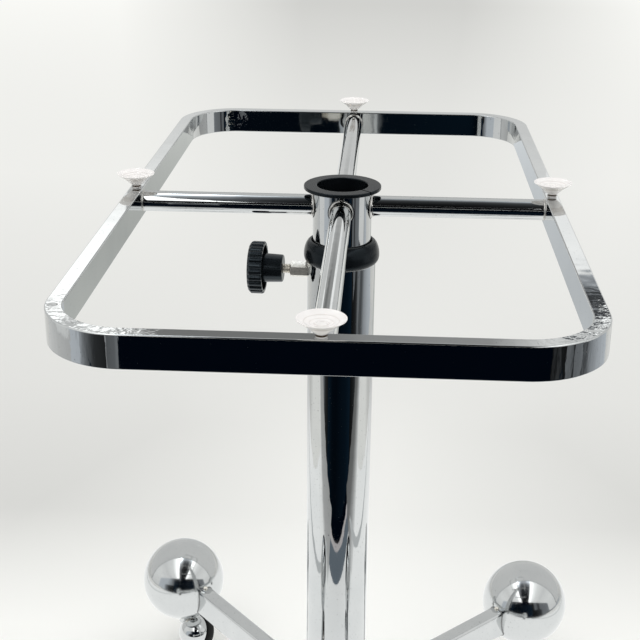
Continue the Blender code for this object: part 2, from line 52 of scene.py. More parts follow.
# Sizes of the solids, in metres
GAP = 0.0003
COLUMN_RADIUS = 0.03175
COLUMN_WALL = 0.0015
TUBE_RADIUS = 0.027
TUBE_WALL = 0.0015
TUBE_EDGE = 0.0004
SLEEVE_RADIUS = COLUMN_RADIUS - COLUMN_WALL - GAP
COLLAR_RADIUS = 0.0353
COLLAR_HEIGHT = 0.0207
COLLAR_LIP = 0.001
COLLAR_BEVEL = 0.0022
COLLAR_FOOT_ROUND = 0.0065
COLLAR_SLEEVE = 0.03
PLUG_WALL = 0.0025
PLUG_FLANGE = 0.0025
PLUG_FLOOR = 0.0024
PLUG_HEIGHT = 0.0175
PLUG_RECESS = 0.0008
FRAME_CORNER = 0.062
BEND_HOLD = 0.004
BAR_THICKNESS = 0.0127
BAR_EDGE = 0.0009
SPOKE_RADIUS = 0.0095
SPOKE_END_WELD = 0.0012
SPOKE_HUB_WELD = 0.0028
BUSH_FLANGE_RADIUS = 0.0355
BUSH_FLANGE = 0.0032
BUSH_WALL = 0.0017
BUSH_SLEEVE = 0.025
BUSH_SPLIT = 0.0015
BUSH_SPLIT_AZIMUTH = -42
CUP_RADIUS = 0.017
CUP_HEIGHT = 0.0134
# Dish rings of the cup, above this height and between these radii, are painted darker as their shade
CUP_DISH_LOW = 0.009
CUP_RINGS = ((0.0077, 0.0083), (0.0115, 0.0121), (0.0046, 0.0051))
# Band round the cup's neck, between these heights and below this radius, painted dark as the groove's shade
CUP_NECK = (0.0012, 0.0026)
CUP_NECK_RADIUS = 0.0042
STUD_RADIUS = 0.0047
STUD_START = 0.0298
STUD_END = 0.001
STUD_HOLE_DEPTH = 0.06
THREAD_PITCH = 0.0015
THREAD_DEPTH = 0.0007
NUT_RADIUS = 0.0078
NUT_LENGTH = 0.0163
NUT_SINK = 0.001
NUT_BEVEL = 0.0006
PAD_RADIUS = 0.004
PAD_START = TUBE_RADIUS + GAP
KNOB_START = 0.05505
KNOB_END = 0.08675
KNOB_RADIUS = 0.0248
KNOB_BOSS_RADIUS = 0.013
KNOB_RIM = 0.014
KNOB_RIM_WALL = 0.0035
KNOB_FACE = 0.005
KNOB_CAP_DROP = 0.0006
KNOB_GROOVE = 0.0014
KNOB_RIBS = 24
KNOB_RIB_DEPTH = 0.0013
LEG_HEIGHT = 0.038
LEG_WIDTH = 0.019
LEG_CORNER = 0.006
LEG_COLUMN_WELD = 0.0022
LEG_BALL_WELD = 0.0008
WELD_NUB = 0.003
WELD_STEP = 0.0006
BALL_RADIUS = 0.0508
BALL_WALL = 0.0015
SOCKET_RADIUS = 0.0107
SOCKET_EDGE = 0.0005
STEM_RADIUS = 0.0055
STEM_FLANGE_RADIUS = 0.009
STEM_FLANGE = 0.003
STEM_FOOT_RADIUS = 0.0045
TYRE_RING = 0.018
TYRE_ROUND = 0.006
WHEEL_RADIUS = 0.0127
HUB_RADIUS = 0.007
WHEEL_HALF = 0.004
AXLE_RADIUS = 0.003
AXLE_BORE = 0.0033
AXLE_DEPTH = 0.006
AXLE_HEAD_RADIUS = 0.005
HOOD_RADIUS = 0.021
HOOD_DEPTH = 0.02
HOOD_RIM = 0.008
HOOD_WALL = 0.0018
HOOD_POST_RADIUS = 0.0055
BOSS_RADIUS = 0.008
BOSS_HEIGHT = 0.008
BOSS_FLOOR = 0.0025
SEAT_RADIUS = 0.0048
SEAT_CLEAR_RADIUS = 0.0096
SEAT_CLEAR_HEIGHT = 0.03

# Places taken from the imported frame
FRAME_LOW, FRAME_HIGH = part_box("top_frame")
FRAME_Z = FRAME_HIGH.z
BAR_HEIGHT = FRAME_HIGH.z - FRAME_LOW.z
SPOKE_Z = FRAME_Z - BAR_HEIGHT / 2
COLUMN_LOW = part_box("column_tube")[0].z
COLUMN_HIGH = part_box("column_tube")[1].z
COLLAR_Z = COLUMN_HIGH + GAP
TUBE_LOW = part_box("inner_tube")[0].z
TUBE_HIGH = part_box("inner_tube")[1].z
FEET = ("front_left", "front_right", "rear_left", "rear_right")

# Camera, worked out from the photo
LENS = 67.9
SENSOR_WIDTH = 36.0
CAMERA_PITCH = math.radians(22.05)
CAMERA_YAW = math.radians(3.136)
CAMERA_ROLL = math.radians(-0.436)
CAMERA_PLACE = Vector((0.0389, -1.0704, FRAME_Z + 0.3066))

# Fineness of the meshes
SHARP_ANGLE = math.radians(38)
ROUND_STEPS = 128
BALL_STEPS = 96
SMALL_STEPS = 64
PIN_STEPS = 48
BEND_STEPS = 28
CORNER_STEPS = 6
CORNER_HOLD = 1.25

# Shares of a spoke's and a leg's length with a row of points; the ends reach past the welds
SPOKE_ROWS = (-0.004, 0.02, 0.3, 0.7, 0.98, 1.002)
LEG_ROWS = (-0.002, 0.01, 0.3, 0.7, 0.99, 1.002)


# Materials


def node(tree, kind, inputs=None, **settings):
    """A shader node; an input takes a value or another node's socket."""
    made = tree.nodes.new("ShaderNode" + kind)
    for key, value in settings.items():
        setattr(made, key, value)
    for key, value in (inputs or {}).items():
        if isinstance(value, bpy.types.NodeSocket):
            tree.links.new(value, made.inputs[key])
        else:
            made.inputs[key].default_value = value
    return made


def principled(name, **sockets):
    """A new material with values on its shader's own sockets."""
    made = bpy.data.materials.new(name)
    made.use_nodes = True
    shader = made.node_tree.nodes["Principled BSDF"]
    for key, value in sockets.items():
        shader.inputs[key.replace("_", " ")].default_value = value
    return made, made.node_tree, shader


def grain(tree, scale, detail, rough=0.5, stretch=(1, 1, 1)):
    """Noise in the piece's own space."""
    place = node(tree, "TexCoord")
    turned = node(tree, "Mapping", {"Vector": place.outputs["Object"], "Scale": stretch})
    made = node(tree, "TexNoise", {"Vector": turned.outputs["Vector"], "Scale": scale,
                                   "Detail": detail, "Roughness": rough})
    return made.outputs["Fac"]


def spread(tree, factor, from_low, from_high, low=0.0, high=1.0):
    """A factor's range mapped to another range."""
    made = node(tree, "MapRange", {"Value": factor, "From Min": from_low, "From Max": from_high,
                                   "To Min": low, "To Max": high})
    return made.outputs["Result"]


def blend_colour(tree, factor, first, second):
    """A mix of two colours."""
    made = node(tree, "Mix", {"Factor": factor}, data_type="RGBA")
    for key, colour in (("A_Color", first), ("B_Color", second)):
        socket = next(s for s in made.inputs if s.identifier == key)
        if isinstance(colour, bpy.types.NodeSocket):
            tree.links.new(colour, socket)
        else:
            socket.default_value = (*colour, 1.0)
    return next(s for s in made.outputs if s.identifier == "Result_Color")


def maths(tree, operation, first, second, **settings):
    """Two factors added or multiplied."""
    return node(tree, "Math", {0: first, 1: second}, operation=operation, **settings).outputs[0]


def bumps(tree, shader, layers):
    """Bump from several heights, each with its depth in metres."""
    normal = None
    for height, depth in layers:
        made = node(tree, "Bump", {"Height": height, "Distance": depth, "Strength": 1.0})
        if normal is not None:
            tree.links.new(normal, made.inputs["Normal"])
        normal = made.outputs["Normal"]
    tree.links.new(normal, shader.inputs["Normal"])


def spot_mask(tree, centre, full, none):
    """1 near a place on the piece, falling to 0 at a distance."""
    place = node(tree, "TexCoord")
    away = node(tree, "VectorMath", {0: place.outputs["Object"], 1: centre}, operation="DISTANCE")
    return spread(tree, away.outputs["Value"], full, none, 1.0, 0.0)


def make_chrome(name, tones, ripple, roughs, spots=(), metal=1.0):
    """Bright plating with faint smears, tiny pits and a slight ripple; each spot is an uneven place."""
    bright, dull = tones
    made, tree, shader = principled(name, Metallic=metal)
    smear = grain(tree, 22, 4.0, 0.55)
    pits = grain(tree, 700, 2.0, 0.5)
    tint = blend_colour(tree, spread(tree, smear, 0.4, 0.75), bright, dull)
    pitted = blend_colour(tree, spread(tree, pits, *PIT_SPAN), tint, tuple(c * PIT_SHADE for c in dull))
    tree.links.new(pitted, shader.inputs["Base Color"])
    rough = maths(tree, "ADD", spread(tree, smear, 0.35, 0.8, *roughs),
                  spread(tree, pits, *PIT_SPAN, 0.0, PIT_ROUGH))
    tree.links.new(rough, shader.inputs["Roughness"])
    layers = [(grain(tree, 55, 1.0, 0.4), ripple), (grain(tree, 900, 2.0, 0.6), PLATING_GRAIN)]
    for centre, full, none, scales, depth, topside in spots:
        mask = spot_mask(tree, centre, full, none)
        if topside:
            normal = node(tree, "NewGeometry").outputs["Normal"]
            upward = node(tree, "SeparateXYZ", {"Vector": normal}).outputs["Z"]
            mask = maths(tree, "MULTIPLY", mask, spread(tree, upward, 0.75, 0.97))
        layers.append((maths(tree, "MULTIPLY", grain(tree, 1.0, 2.5, 0.5, scales), mask), depth))
    bumps(tree, shader, layers)
    return made


def cloud_over(tree, shader, cloud, tones, roughs, tone_top=0.75, rough_top=0.8):
    """Colour and roughness that wander with a cloud of noise."""
    tint = blend_colour(tree, spread(tree, cloud, 0.3, tone_top), *tones)
    tree.links.new(tint, shader.inputs["Base Color"])
    tree.links.new(spread(tree, cloud, 0.3, rough_top, *roughs), shader.inputs["Roughness"])


def make_plastic(name, tones, roughs, texture, shine=0.5, tint=(1.0, 1.0, 1.0, 1.0)):
    """Moulded plastic with a fine texture and slight scuffs."""
    made, tree, shader = principled(name, Metallic=0.0, IOR=1.45, Specular_IOR_Level=shine,
                                    Specular_Tint=tint)
    cloud_over(tree, shader, grain(tree, 60, 5.0, 0.6), tones, roughs)
    bumps(tree, shader, ((grain(tree, 2600, 2.0, 0.6), texture),))
    return made


def make_pvc(name, tones, clear):
    """Soft clear vinyl, slightly milky."""
    made, tree, shader = principled(name, Metallic=0.0, IOR=1.45, Transmission_Weight=clear)
    cloud_over(tree, shader, grain(tree, 160, 4.0, 0.6), tones, (0.1, 0.24))
    bumps(tree, shader, ((grain(tree, 900, 2.0, 0.5), 0.00002),))
    return made


def make_raw_steel(name, tones):
    """The tubes' bare inside, dark and streaked along its length."""
    made, tree, shader = principled(name, Metallic=0.9)
    streak = grain(tree, 120, 4.0, 0.6, (1, 1, 0.12))
    cloud_over(tree, shader, streak, tones, (0.35, 0.6), 0.7, 0.7)
    bumps(tree, shader, ((streak, 0.0002),))
    return made


PIT_SPAN = (0.69, 0.74)
PIT_SHADE = 0.35
PIT_ROUGH = 0.25
PLATING_GRAIN = 0.0000015
CHROME_TONES = ((0.63, 0.642, 0.642), (0.58, 0.595, 0.6))
CHROME_ROUGH = (0.015, 0.06)
CHROME_RIPPLE = 0.00007
BLACK_TONES = ((0.003, 0.004, 0.005), (0.0065, 0.008, 0.0094))
BLACK_TEXTURE = 0.00001
BLACK_SHEEN = (0.72, 0.88, 1.0, 1.0)

# Uneven plating on the bar: centre, reach at full depth and at none, grain, depth, top face only or not
BAR_SPOTS = (
    ((-0.172, -0.322, FRAME_Z), 0.04, 0.07, (150, 150, 150), 0.0004, True),
    ((-0.169, -0.328, FRAME_Z), 0.003, 0.01, (200, 200, 200), 0.0009, True),
    ((-0.19, -0.3, FRAME_Z), 0.001, 0.004, (300, 300, 300), 0.0006, True),
    ((-0.185, -0.335, FRAME_Z - 0.014), 0.03, 0.055, (150, 150, 40), 0.00018, False),
    ((0.192, -0.268, FRAME_Z), 0.024, 0.04, (230, 230, 230), 0.00003, True),
    ((0.185, -0.335, FRAME_Z - 0.014), 0.03, 0.055, (150, 150, 40), 0.0002, False),
    ((-0.138, 0.337, FRAME_Z - 0.016), 0.006, 0.016, (150, 150, 150), 0.0006, False),
    ((0.165, 0.325, FRAME_Z - 0.012), 0.02, 0.05, (60, 60, 20), 0.0001, False),
)

CHROME = make_chrome("chrome", CHROME_TONES, CHROME_RIPPLE, CHROME_ROUGH)
BAR_CHROME = make_chrome("bar_chrome", CHROME_TONES, CHROME_RIPPLE, CHROME_ROUGH, BAR_SPOTS)
BALL_CHROME = make_chrome("ball_chrome", CHROME_TONES, 0.00004, (0.1, 0.13))
WELD = make_chrome("plated_weld", ((0.6, 0.59, 0.57), (0.48, 0.47, 0.45)), 0.0001, (0.16, 0.3))
# Weld chrome painted darker: painted shade of the gap where a leg meets its ball
WELD_PAINTED_SHADE = make_chrome("weld_painted_shade", ((0.3, 0.3, 0.3), (0.18, 0.18, 0.18)), 0.0001, (0.2, 0.35))
STEEL = make_chrome("nickel_steel", ((0.84, 0.81, 0.76), (0.7, 0.67, 0.62)), 0.00005, (0.2, 0.34))
ZINC = make_chrome("zinc", ((0.9, 0.87, 0.8), (0.74, 0.7, 0.62)), 0.0004, (0.16, 0.34), metal=0.8)
BLACK_PLASTIC = make_plastic("black_plastic", BLACK_TONES, (0.16, 0.3), BLACK_TEXTURE, 0.2, BLACK_SHEEN)
KNOB_PLASTIC = make_plastic("knob_plastic", BLACK_TONES, (0.1, 0.2), BLACK_TEXTURE, 0.5, BLACK_SHEEN)
RUBBER = make_plastic("rubber", ((0.006, 0.006, 0.006), (0.014, 0.014, 0.013)), (0.5, 0.75), 0.00005, 0.3)
NYLON = make_plastic("nylon", ((0.7, 0.68, 0.61), (0.6, 0.58, 0.52)), (0.4, 0.55), 0.00002)
CLEAR_PVC = make_pvc("clear_pvc", ((0.99, 0.972, 0.955), (0.955, 0.925, 0.905)), 0.22)
# Greyer vinyl: painted shade on the dish's rings
PVC_SHADE = make_pvc("pvc_ring_painted_shade", ((0.92, 0.885, 0.855), (0.85, 0.81, 0.775)), 0.25)
# Dark vinyl: painted shade in the neck's groove
NECK_SHADE = make_pvc("pvc_neck_painted_shade", ((0.1, 0.075, 0.055), (0.05, 0.038, 0.03)), 0.2)
RAW_STEEL = make_raw_steel("raw_steel", ((0.1, 0.085, 0.075), (0.24, 0.2, 0.17)))


# Shapes


def soft(points, closed=False, steps=CORNER_STEPS):
    """An outline of (across, along, rounding) points, its corners rounded and held at each side."""
    made = []
    count = len(points)
    for i, point in enumerate(points):
        here = np.array(point[:2], float)
        rounding = point[2] if len(point) > 2 else 0
        if not rounding or (not closed and i in (0, count - 1)):
            made.append(here)
            continue
        before = np.array(points[i - 1][:2], float) - here
        after = np.array(points[(i + 1) % count][:2], float) - here
        before /= np.linalg.norm(before)
        after /= np.linalg.norm(after)
        half = math.acos(max(-1.0, min(1.0, float(before @ after)))) / 2
        reach = rounding / math.tan(half)
        inward = (before + after) / np.linalg.norm(before + after)
        centre = here + inward * rounding / math.sin(half)
        start = here + before * reach - centre
        end = here + after * reach - centre
        first = math.atan2(start[1], start[0])
        sweep = (math.atan2(end[1], end[0]) - first + math.pi) % math.tau - math.pi
        made.append(here + before * reach * CORNER_HOLD)
        for step in range(steps + 1):
            angle = first + sweep * step / steps
            made.append(centre + rounding * np.array((math.cos(angle), math.sin(angle))))
        made.append(here + after * reach * CORNER_HOLD)
    return np.array(made)


def arc(centre, radii, start, end, steps):
    """Points on an elliptic arc; angles in degrees from +across towards +along."""
    angles = np.radians(np.linspace(start, end, steps + 1))
    return np.stack((centre[0] + radii[0] * np.cos(angles), centre[1] + radii[1] * np.sin(angles)), 1)


def round_angles(count):
    """Even angles once round."""
    return np.linspace(0, math.tau, count, endpoint=False)


def circle(radius, angles, height):
    """Points round Z at a height; the radius may change with the angle."""
    return np.stack((radius * np.cos(angles), radius * np.sin(angles), 0 * angles + height), 1)


def skin(name, rows, along=False, caps=False):
    """A mesh through rows of points, closed round each row, and along the rows or capped where asked."""
    count, width = rows.shape[:2]
    index = np.arange(count * width).reshape(count, width)
    faces = []
    for i in range(count if along else count - 1):
        low, high = index[i], index[(i + 1) % count]
        for j in range(width):
            k = (j + 1) % width
            faces.append((low[j], high[j], high[k], low[k]))
    if caps:
        faces += [tuple(index[0][::-1]), tuple(index[-1])]
    mesh = bpy.data.meshes.new(name)
    mesh.from_pydata(rows.reshape(-1, 3).tolist(), [], [[int(v) for v in face] for face in faces])
    clean = bmesh.new()
    clean.from_mesh(mesh)
    bmesh.ops.remove_doubles(clean, verts=clean.verts, dist=1e-7)
    bmesh.ops.recalc_face_normals(clean, faces=clean.faces)
    clean.to_mesh(mesh)
    clean.free()
    return mesh


def lathe(name, outline, steps, closed=False, ribs=None):
    """A turned shape about Z; ribs gives a change of radius from the outline's points and the angles."""
    angles = round_angles(steps)
    radius = np.repeat(outline[:, :1], steps, 1)
    if ribs is not None:
        radius = radius + ribs(outline, angles)
    height = np.repeat(outline[:, 1:2], steps, 1)
    rows = np.stack((radius * np.cos(angles), radius * np.sin(angles), height), 2)
    return skin(name, rows, along=closed)


def add(name, data):
    """A new object in the scene."""
    made = bpy.data.objects.new(name, data)
    bpy.context.scene.collection.objects.link(made)
    return made


def sheet(name, corners, finish):
    """A flat face in the scene."""
    mesh = bpy.data.meshes.new(name)
    mesh.from_pydata(corners, [], [tuple(range(len(corners)))])
    mesh.materials.append(finish)
    return add(name, mesh)


def paint(mesh, index, chosen):
    """Give a material's index to the faces that are chosen by their radius and height."""
    for face in mesh.polygons:
        if chosen(math.hypot(face.center.x, face.center.y), face.center.z):
            face.material_index = index


def piece(name, mesh, finishes, body, nodes=(), place=None):
    """A finished piece that rides on a body and stands for the named nodes."""
    if place is not None:
        mesh.transform(place)
    mesh.shade_smooth()
    mesh.set_sharp_from_angle(angle=SHARP_ANGLE)
    made = add(name, mesh)
    for finish in finishes:
        mesh.materials.append(finish)
    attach(made, body)
    if nodes:
        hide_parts(*nodes)
    return made


def fine(name, mesh, finish, body, place=None, others=()):
    """The piece that stands for one node, with the materials of its painted faces after its own."""
    return piece(name + "_fine", mesh, (finish, *others), body, (name,), place)


def cut(made, tool, operation="DIFFERENCE"):
    """Cut a helper mesh from a piece, or join it on, and keep the result."""
    helper = add("helper", tool)
    modifier = made.modifiers.new("cut", "BOOLEAN")
    modifier.operation = operation
    modifier.object = helper
    modifier.solver = "EXACT"
    bpy.context.view_layer.update()
    depsgraph = bpy.context.evaluated_depsgraph_get()
    mesh = bpy.data.meshes.new_from_object(made.evaluated_get(depsgraph))
    made.modifiers.clear()
    old = made.data
    made.data = mesh
    mesh.name = made.name
    bpy.data.meshes.remove(old)
    bpy.data.objects.remove(helper, do_unlink=True)
    mesh.set_sharp_from_angle(angle=SHARP_ANGLE)


def along_axis(place, direction):
    """A frame whose Z axis points in a direction."""
    turn = Vector(direction).to_track_quat("Z", "Y").to_matrix().to_4x4()
    return Matrix.Translation(Vector(place)) @ turn


def turned_by(degrees, height):
    """A turn about the stand's axis, at a height."""
    return Matrix.Translation((0, 0, height)) @ Matrix.Rotation(math.radians(degrees), 4, "Z")


def ring_outline(radius, wall, low, high, rounding):
    """A tube's wall with rounded edges."""
    return soft([(radius, high, rounding), (radius, low, rounding), (radius - wall, low, rounding),
                 (radius - wall, high, rounding)], True, 3)


def even(outline, step):
    """A closed outline with its points spaced evenly, and the outward direction at each."""
    ends = np.vstack((outline, outline[:1]))
    lengths = np.concatenate(([0], np.cumsum(np.linalg.norm(np.diff(ends, axis=0), axis=1))))
    marks = np.linspace(0, lengths[-1], int(lengths[-1] / step), endpoint=False)
    points = np.stack([np.interp(marks, lengths, ends[:, k]) for k in range(2)], 1)
    tangent = np.roll(points, -1, 0) - np.roll(points, 1, 0)
    tangent /= np.linalg.norm(tangent, axis=1)[:, None]
    outward = np.stack((tangent[:, 1], -tangent[:, 0]), 1)
    if np.sum(outward * (points - points.mean(0))) < 0:
        outward = -outward
    return points, outward


def weld_bead(name, points, first, second, width, seed, body, place, hollow=True, finish=WELD):
    """A bead along a closed line; first and second point out of its two faces. A full bead is rippled."""
    if hollow:
        fillet = 1 + arc((0, 0), (1, 1), 180, 270, 8)
        section = np.concatenate((fillet, [(0.7, -0.2), (-0.2, -0.2), (-0.2, 0.7)]))
    else:
        around = round_angles(12)
        section = np.stack((np.cos(around), np.sin(around)), 1)
    rows = []
    for i, point in enumerate(points):
        ripple = 0 if hollow else 0.05 * math.sin(math.tau * i / 4.0)
        lump = 0.18 * noise.noise(Vector((i * 0.07, seed * 7.3, 0.5)))
        size = width * (1 + ripple + lump)
        rows.append(point + size * (section[:, :1] * first[i] + section[:, 1:] * second[i]))
    piece(name, skin(name, np.array(rows), along=True), (finish,), body, place=place)


# Column


def make_column():
    """Outer tube with the stud's hole, collar, foot plug and clamp."""
    outline = ring_outline(COLUMN_RADIUS, COLUMN_WALL, COLUMN_LOW, COLUMN_HIGH, TUBE_EDGE)
    column = fine("column_tube", lathe("column", outline, ROUND_STEPS, True), CHROME, "base")
    turn = joints["clamp_turn"]
    clamp = along_axis((0, 0, turn["pos_m"][2]), turn["axis"])
    clear = STUD_RADIUS + GAP * 2
    hole = lathe("hole", np.array([(0, 0), (clear, 0), (clear, STUD_HOLE_DEPTH), (0, STUD_HOLE_DEPTH)]), 32)
    hole.transform(clamp)
    cut(column, hole)
    make_collar(hole)
    make_foot_plug()
    make_nut(clamp)
    make_stud(clamp)
    make_pad(clamp)
    make_knob(clamp)


def make_collar(hole):
    """Bell-shaped guide collar with its sleeve in the column."""
    bore = TUBE_RADIUS + GAP
    lip = bore + COLLAR_LIP
    low = COLLAR_FOOT_ROUND
    top = COLLAR_HEIGHT
    bell = arc((lip, low), (COLLAR_RADIUS - lip, top - low), 84, 0, 18)
    foot = arc((COLUMN_RADIUS, low), (COLLAR_RADIUS - COLUMN_RADIUS, low), 0, -90, 10)
    outline = [(bore, top - COLLAR_BEVEL), (lip - 0.0002, top - 0.0002), (lip, top)]
    outline += [tuple(p) for p in bell] + [tuple(p) for p in foot[1:]]
    outline += [(SLEEVE_RADIUS, 0.0), (SLEEVE_RADIUS, -COLLAR_SLEEVE, 0.0004), (bore, -COLLAR_SLEEVE, 0.0004)]
    mesh = lathe("collar", soft(outline, True), ROUND_STEPS, True)
    collar = fine("column_collar", mesh, BLACK_PLASTIC, "base", turned_by(0, COLLAR_Z))
    cut(collar, hole)


def make_foot_plug():
    """Cupped plug in the column's lower end."""
    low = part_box("column_foot_plug")[0].z
    wall = SLEEVE_RADIUS - PLUG_WALL
    outline = soft([
        (0, PLUG_FLOOR), (wall, PLUG_FLOOR, 0.001), (wall, PLUG_HEIGHT, 0.0004),
        (SLEEVE_RADIUS, PLUG_HEIGHT, 0.0008), (SLEEVE_RADIUS, PLUG_FLANGE),
        (COLUMN_RADIUS, PLUG_FLANGE, 0.0003), (COLUMN_RADIUS, 0.0, 0.0012),
        (COLUMN_RADIUS * 0.72, 0.0, 0.0004), (COLUMN_RADIUS * 0.7, PLUG_RECESS, 0.0004), (0, PLUG_RECESS)])
    fine("column_foot_plug", lathe("plug", outline, ROUND_STEPS), BLACK_PLASTIC, "base",
         turned_by(0, low))


def make_nut(clamp):
    """Hexagon standoff on the column with a chamfered end."""
    start = COLUMN_RADIUS - NUT_SINK
    end = COLUMN_RADIUS + NUT_LENGTH
    bore = STUD_RADIUS + GAP
    angles = round_angles(96)
    flat = NUT_RADIUS * math.cos(math.pi / 6)
    hexagon = flat / np.cos((angles + math.pi / 6) % (math.pi / 3) - math.pi / 6)
    rows = [circle(bore, angles, start)]
    for along in (start, *np.linspace(end - 0.0016, end, 10)):
        cone = NUT_RADIUS + 0.0002 - max(0.0, along - end + 0.0014) * 1.1
        rows.append(circle(np.minimum(hexagon, cone), angles, along))
    rows += [circle(bore + NUT_BEVEL, angles, end), circle(bore, angles, end - NUT_BEVEL)]
    fine("clamp_nut", skin("nut", np.array(rows), along=True), ZINC, "base", clamp)


def make_stud(clamp):
    """Threaded stud from the pad to the knob's face."""
    stop = KNOB_END - KNOB_FACE - GAP
    angles = round_angles(PIN_STEPS)
    heights = np.arange(STUD_START + STUD_END, stop - STUD_END, THREAD_PITCH / 8)
    wave = (heights[:, None] / THREAD_PITCH - angles[None, :] / math.tau) % 1.0
    radii = STUD_RADIUS - THREAD_DEPTH * np.clip(np.abs(2 * wave - 1) * 1.25 - 0.1, 0, 1)
    tip = (STUD_RADIUS - THREAD_DEPTH) * 0.85
    rows = [circle(0, angles, STUD_START), circle(tip, angles, STUD_START)]
    rows += [circle(radius, angles, height) for radius, height in zip(radii, heights)]
    rows += [circle(tip, angles, stop), circle(0, angles, stop)]
    fine("clamp_stud", skin("stud", np.array(rows)), ZINC, "clamp_knob", clamp)


def make_pad(clamp):
    """Soft pad between the stud's tip and the inner tube."""
    back = STUD_START - GAP
    outline = soft([(0, back), (PAD_RADIUS, back, 0.0003), (PAD_RADIUS, PAD_START, 0.0005), (0, PAD_START)])
    fine("clamp_pad", lathe("pad", outline, PIN_STEPS), NYLON, "clamp_pad", clamp)


def make_knob(clamp):
    """Ribbed hand knob, hollow behind, with a ring groove in its face."""
    back = KNOB_END - KNOB_RIM
    face = KNOB_END - KNOB_FACE
    cap = KNOB_END - KNOB_CAP_DROP
    groove = KNOB_END - KNOB_GROOVE
    bore = STUD_RADIUS + GAP
    inside = KNOB_RADIUS - KNOB_RIM_WALL
    outline = soft([
        (0, cap), (0.0135, cap, 0.0003), (0.0138, groove, 0.0002), (0.015, groove, 0.0002),
        (0.0153, KNOB_END - 0.0004, 0.0003), (KNOB_RADIUS - 0.0024, KNOB_END, 0.0012),
        (KNOB_RADIUS, KNOB_END - 0.0022, 0.0016), (KNOB_RADIUS, back, 0.0014), (inside, back, 0.0006),
        (inside - 0.0006, face, 0.0012), (KNOB_BOSS_RADIUS + 0.0012, face, 0.0014),
        (KNOB_BOSS_RADIUS, KNOB_START, 0.0014), (bore, KNOB_START, 0.0004), (bore, face), (0, face)])

    def ribs(points, at):
        shown = np.clip((points[:, 0] - KNOB_RADIUS + 0.003) / 0.0022, 0, 1)
        hollow = (0.5 + 0.5 * np.cos(KNOB_RIBS * at)) ** 2.6
        return -KNOB_RIB_DEPTH * shown[:, None] * hollow[None, :]

    mesh = lathe("knob", outline, KNOB_RIBS * 12, ribs=ribs)
    fine("clamp_knob", mesh, KNOB_PLASTIC, "clamp_knob", clamp)


# Top


def make_top():
    """Inner tube, bush, bar frame, and a spoke and a cup on each side."""
    outline = ring_outline(TUBE_RADIUS, TUBE_WALL, TUBE_LOW, TUBE_HIGH, TUBE_EDGE)
    mesh = lathe("tube", outline, ROUND_STEPS, True)
    paint(mesh, 1, lambda radius, height: radius < TUBE_RADIUS - TUBE_WALL / 2)
    fine("inner_tube", mesh, CHROME, "top", others=(RAW_STEEL,))
    make_bush()
    make_frame()
    sides = {"right": FRAME_HIGH.x, "rear": FRAME_HIGH.y, "left": FRAME_HIGH.x, "front": FRAME_HIGH.y}
    for side, (name, reach) in enumerate(sides.items()):
        make_spoke(name, reach - BAR_THICKNESS, turned_by(90 * side, SPOKE_Z), side)
        make_cup(name, turned_by(90 * side, FRAME_Z) @ Matrix.Translation((reach - BAR_THICKNESS / 2, 0, 0)))


def make_bush():
    """Flanged plastic bush, split on one side."""
    sleeve = TUBE_RADIUS - TUBE_WALL - GAP
    hole = sleeve - BUSH_WALL
    outline = soft([
        (BUSH_FLANGE_RADIUS, BUSH_FLANGE, 0.0009), (BUSH_FLANGE_RADIUS, 0, 0.0005), (sleeve, 0, 0.0003),
        (sleeve, -BUSH_SLEEVE, 0.0004), (hole, -BUSH_SLEEVE, 0.0004), (hole, BUSH_FLANGE, 0.0009)], True)
    shares = np.linspace(0, 1, ROUND_STEPS + 1)
    half = np.arcsin(BUSH_SPLIT / 2 / outline[:, 0])
    angles = half[:, None] + (math.tau - 2 * half)[:, None] * shares[None, :]
    rows = np.stack((outline[:, :1] * np.cos(angles), outline[:, :1] * np.sin(angles),
                     np.repeat(outline[:, 1:], ROUND_STEPS + 1, 1)), 2)
    mesh = skin("bush", rows.transpose(1, 0, 2), caps=True)
    place = turned_by(BUSH_SPLIT_AZIMUTH, TUBE_HIGH + GAP)
    fine("top_bush", mesh, BLACK_PLASTIC, "top", place)


def make_frame():
    """Rectangular bar bent into a rounded rectangle."""
    half = BAR_HEIGHT / 2
    section = soft([(0, half, BAR_EDGE), (0, -half, BAR_EDGE), (-BAR_THICKNESS, -half, BAR_EDGE),
                    (-BAR_THICKNESS, half, BAR_EDGE)], True)
    marks = [(0, -BEND_HOLD)] + [(step / BEND_STEPS, 0) for step in range(BEND_STEPS + 1)] + [(1, BEND_HOLD)]
    rows = []
    for corner, (sx, sy) in enumerate(((1, 1), (-1, 1), (-1, -1), (1, -1))):
        centre = np.array((sx * (FRAME_HIGH.x - FRAME_CORNER), sy * (FRAME_HIGH.y - FRAME_CORNER)))
        for share, ahead in marks:
            angle = math.pi / 2 * (corner + share)
            out = np.array((math.cos(angle), math.sin(angle)))
            base = centre + np.array((-out[1], out[0])) * ahead
            flat = base + out * (FRAME_CORNER + section[:, :1])
            rows.append(np.concatenate((flat, section[:, 1:]), 1))
    mesh = skin("bar", np.array(rows), along=True)
    fine("top_frame", mesh, BAR_CHROME, "top", turned_by(0, SPOKE_Z))


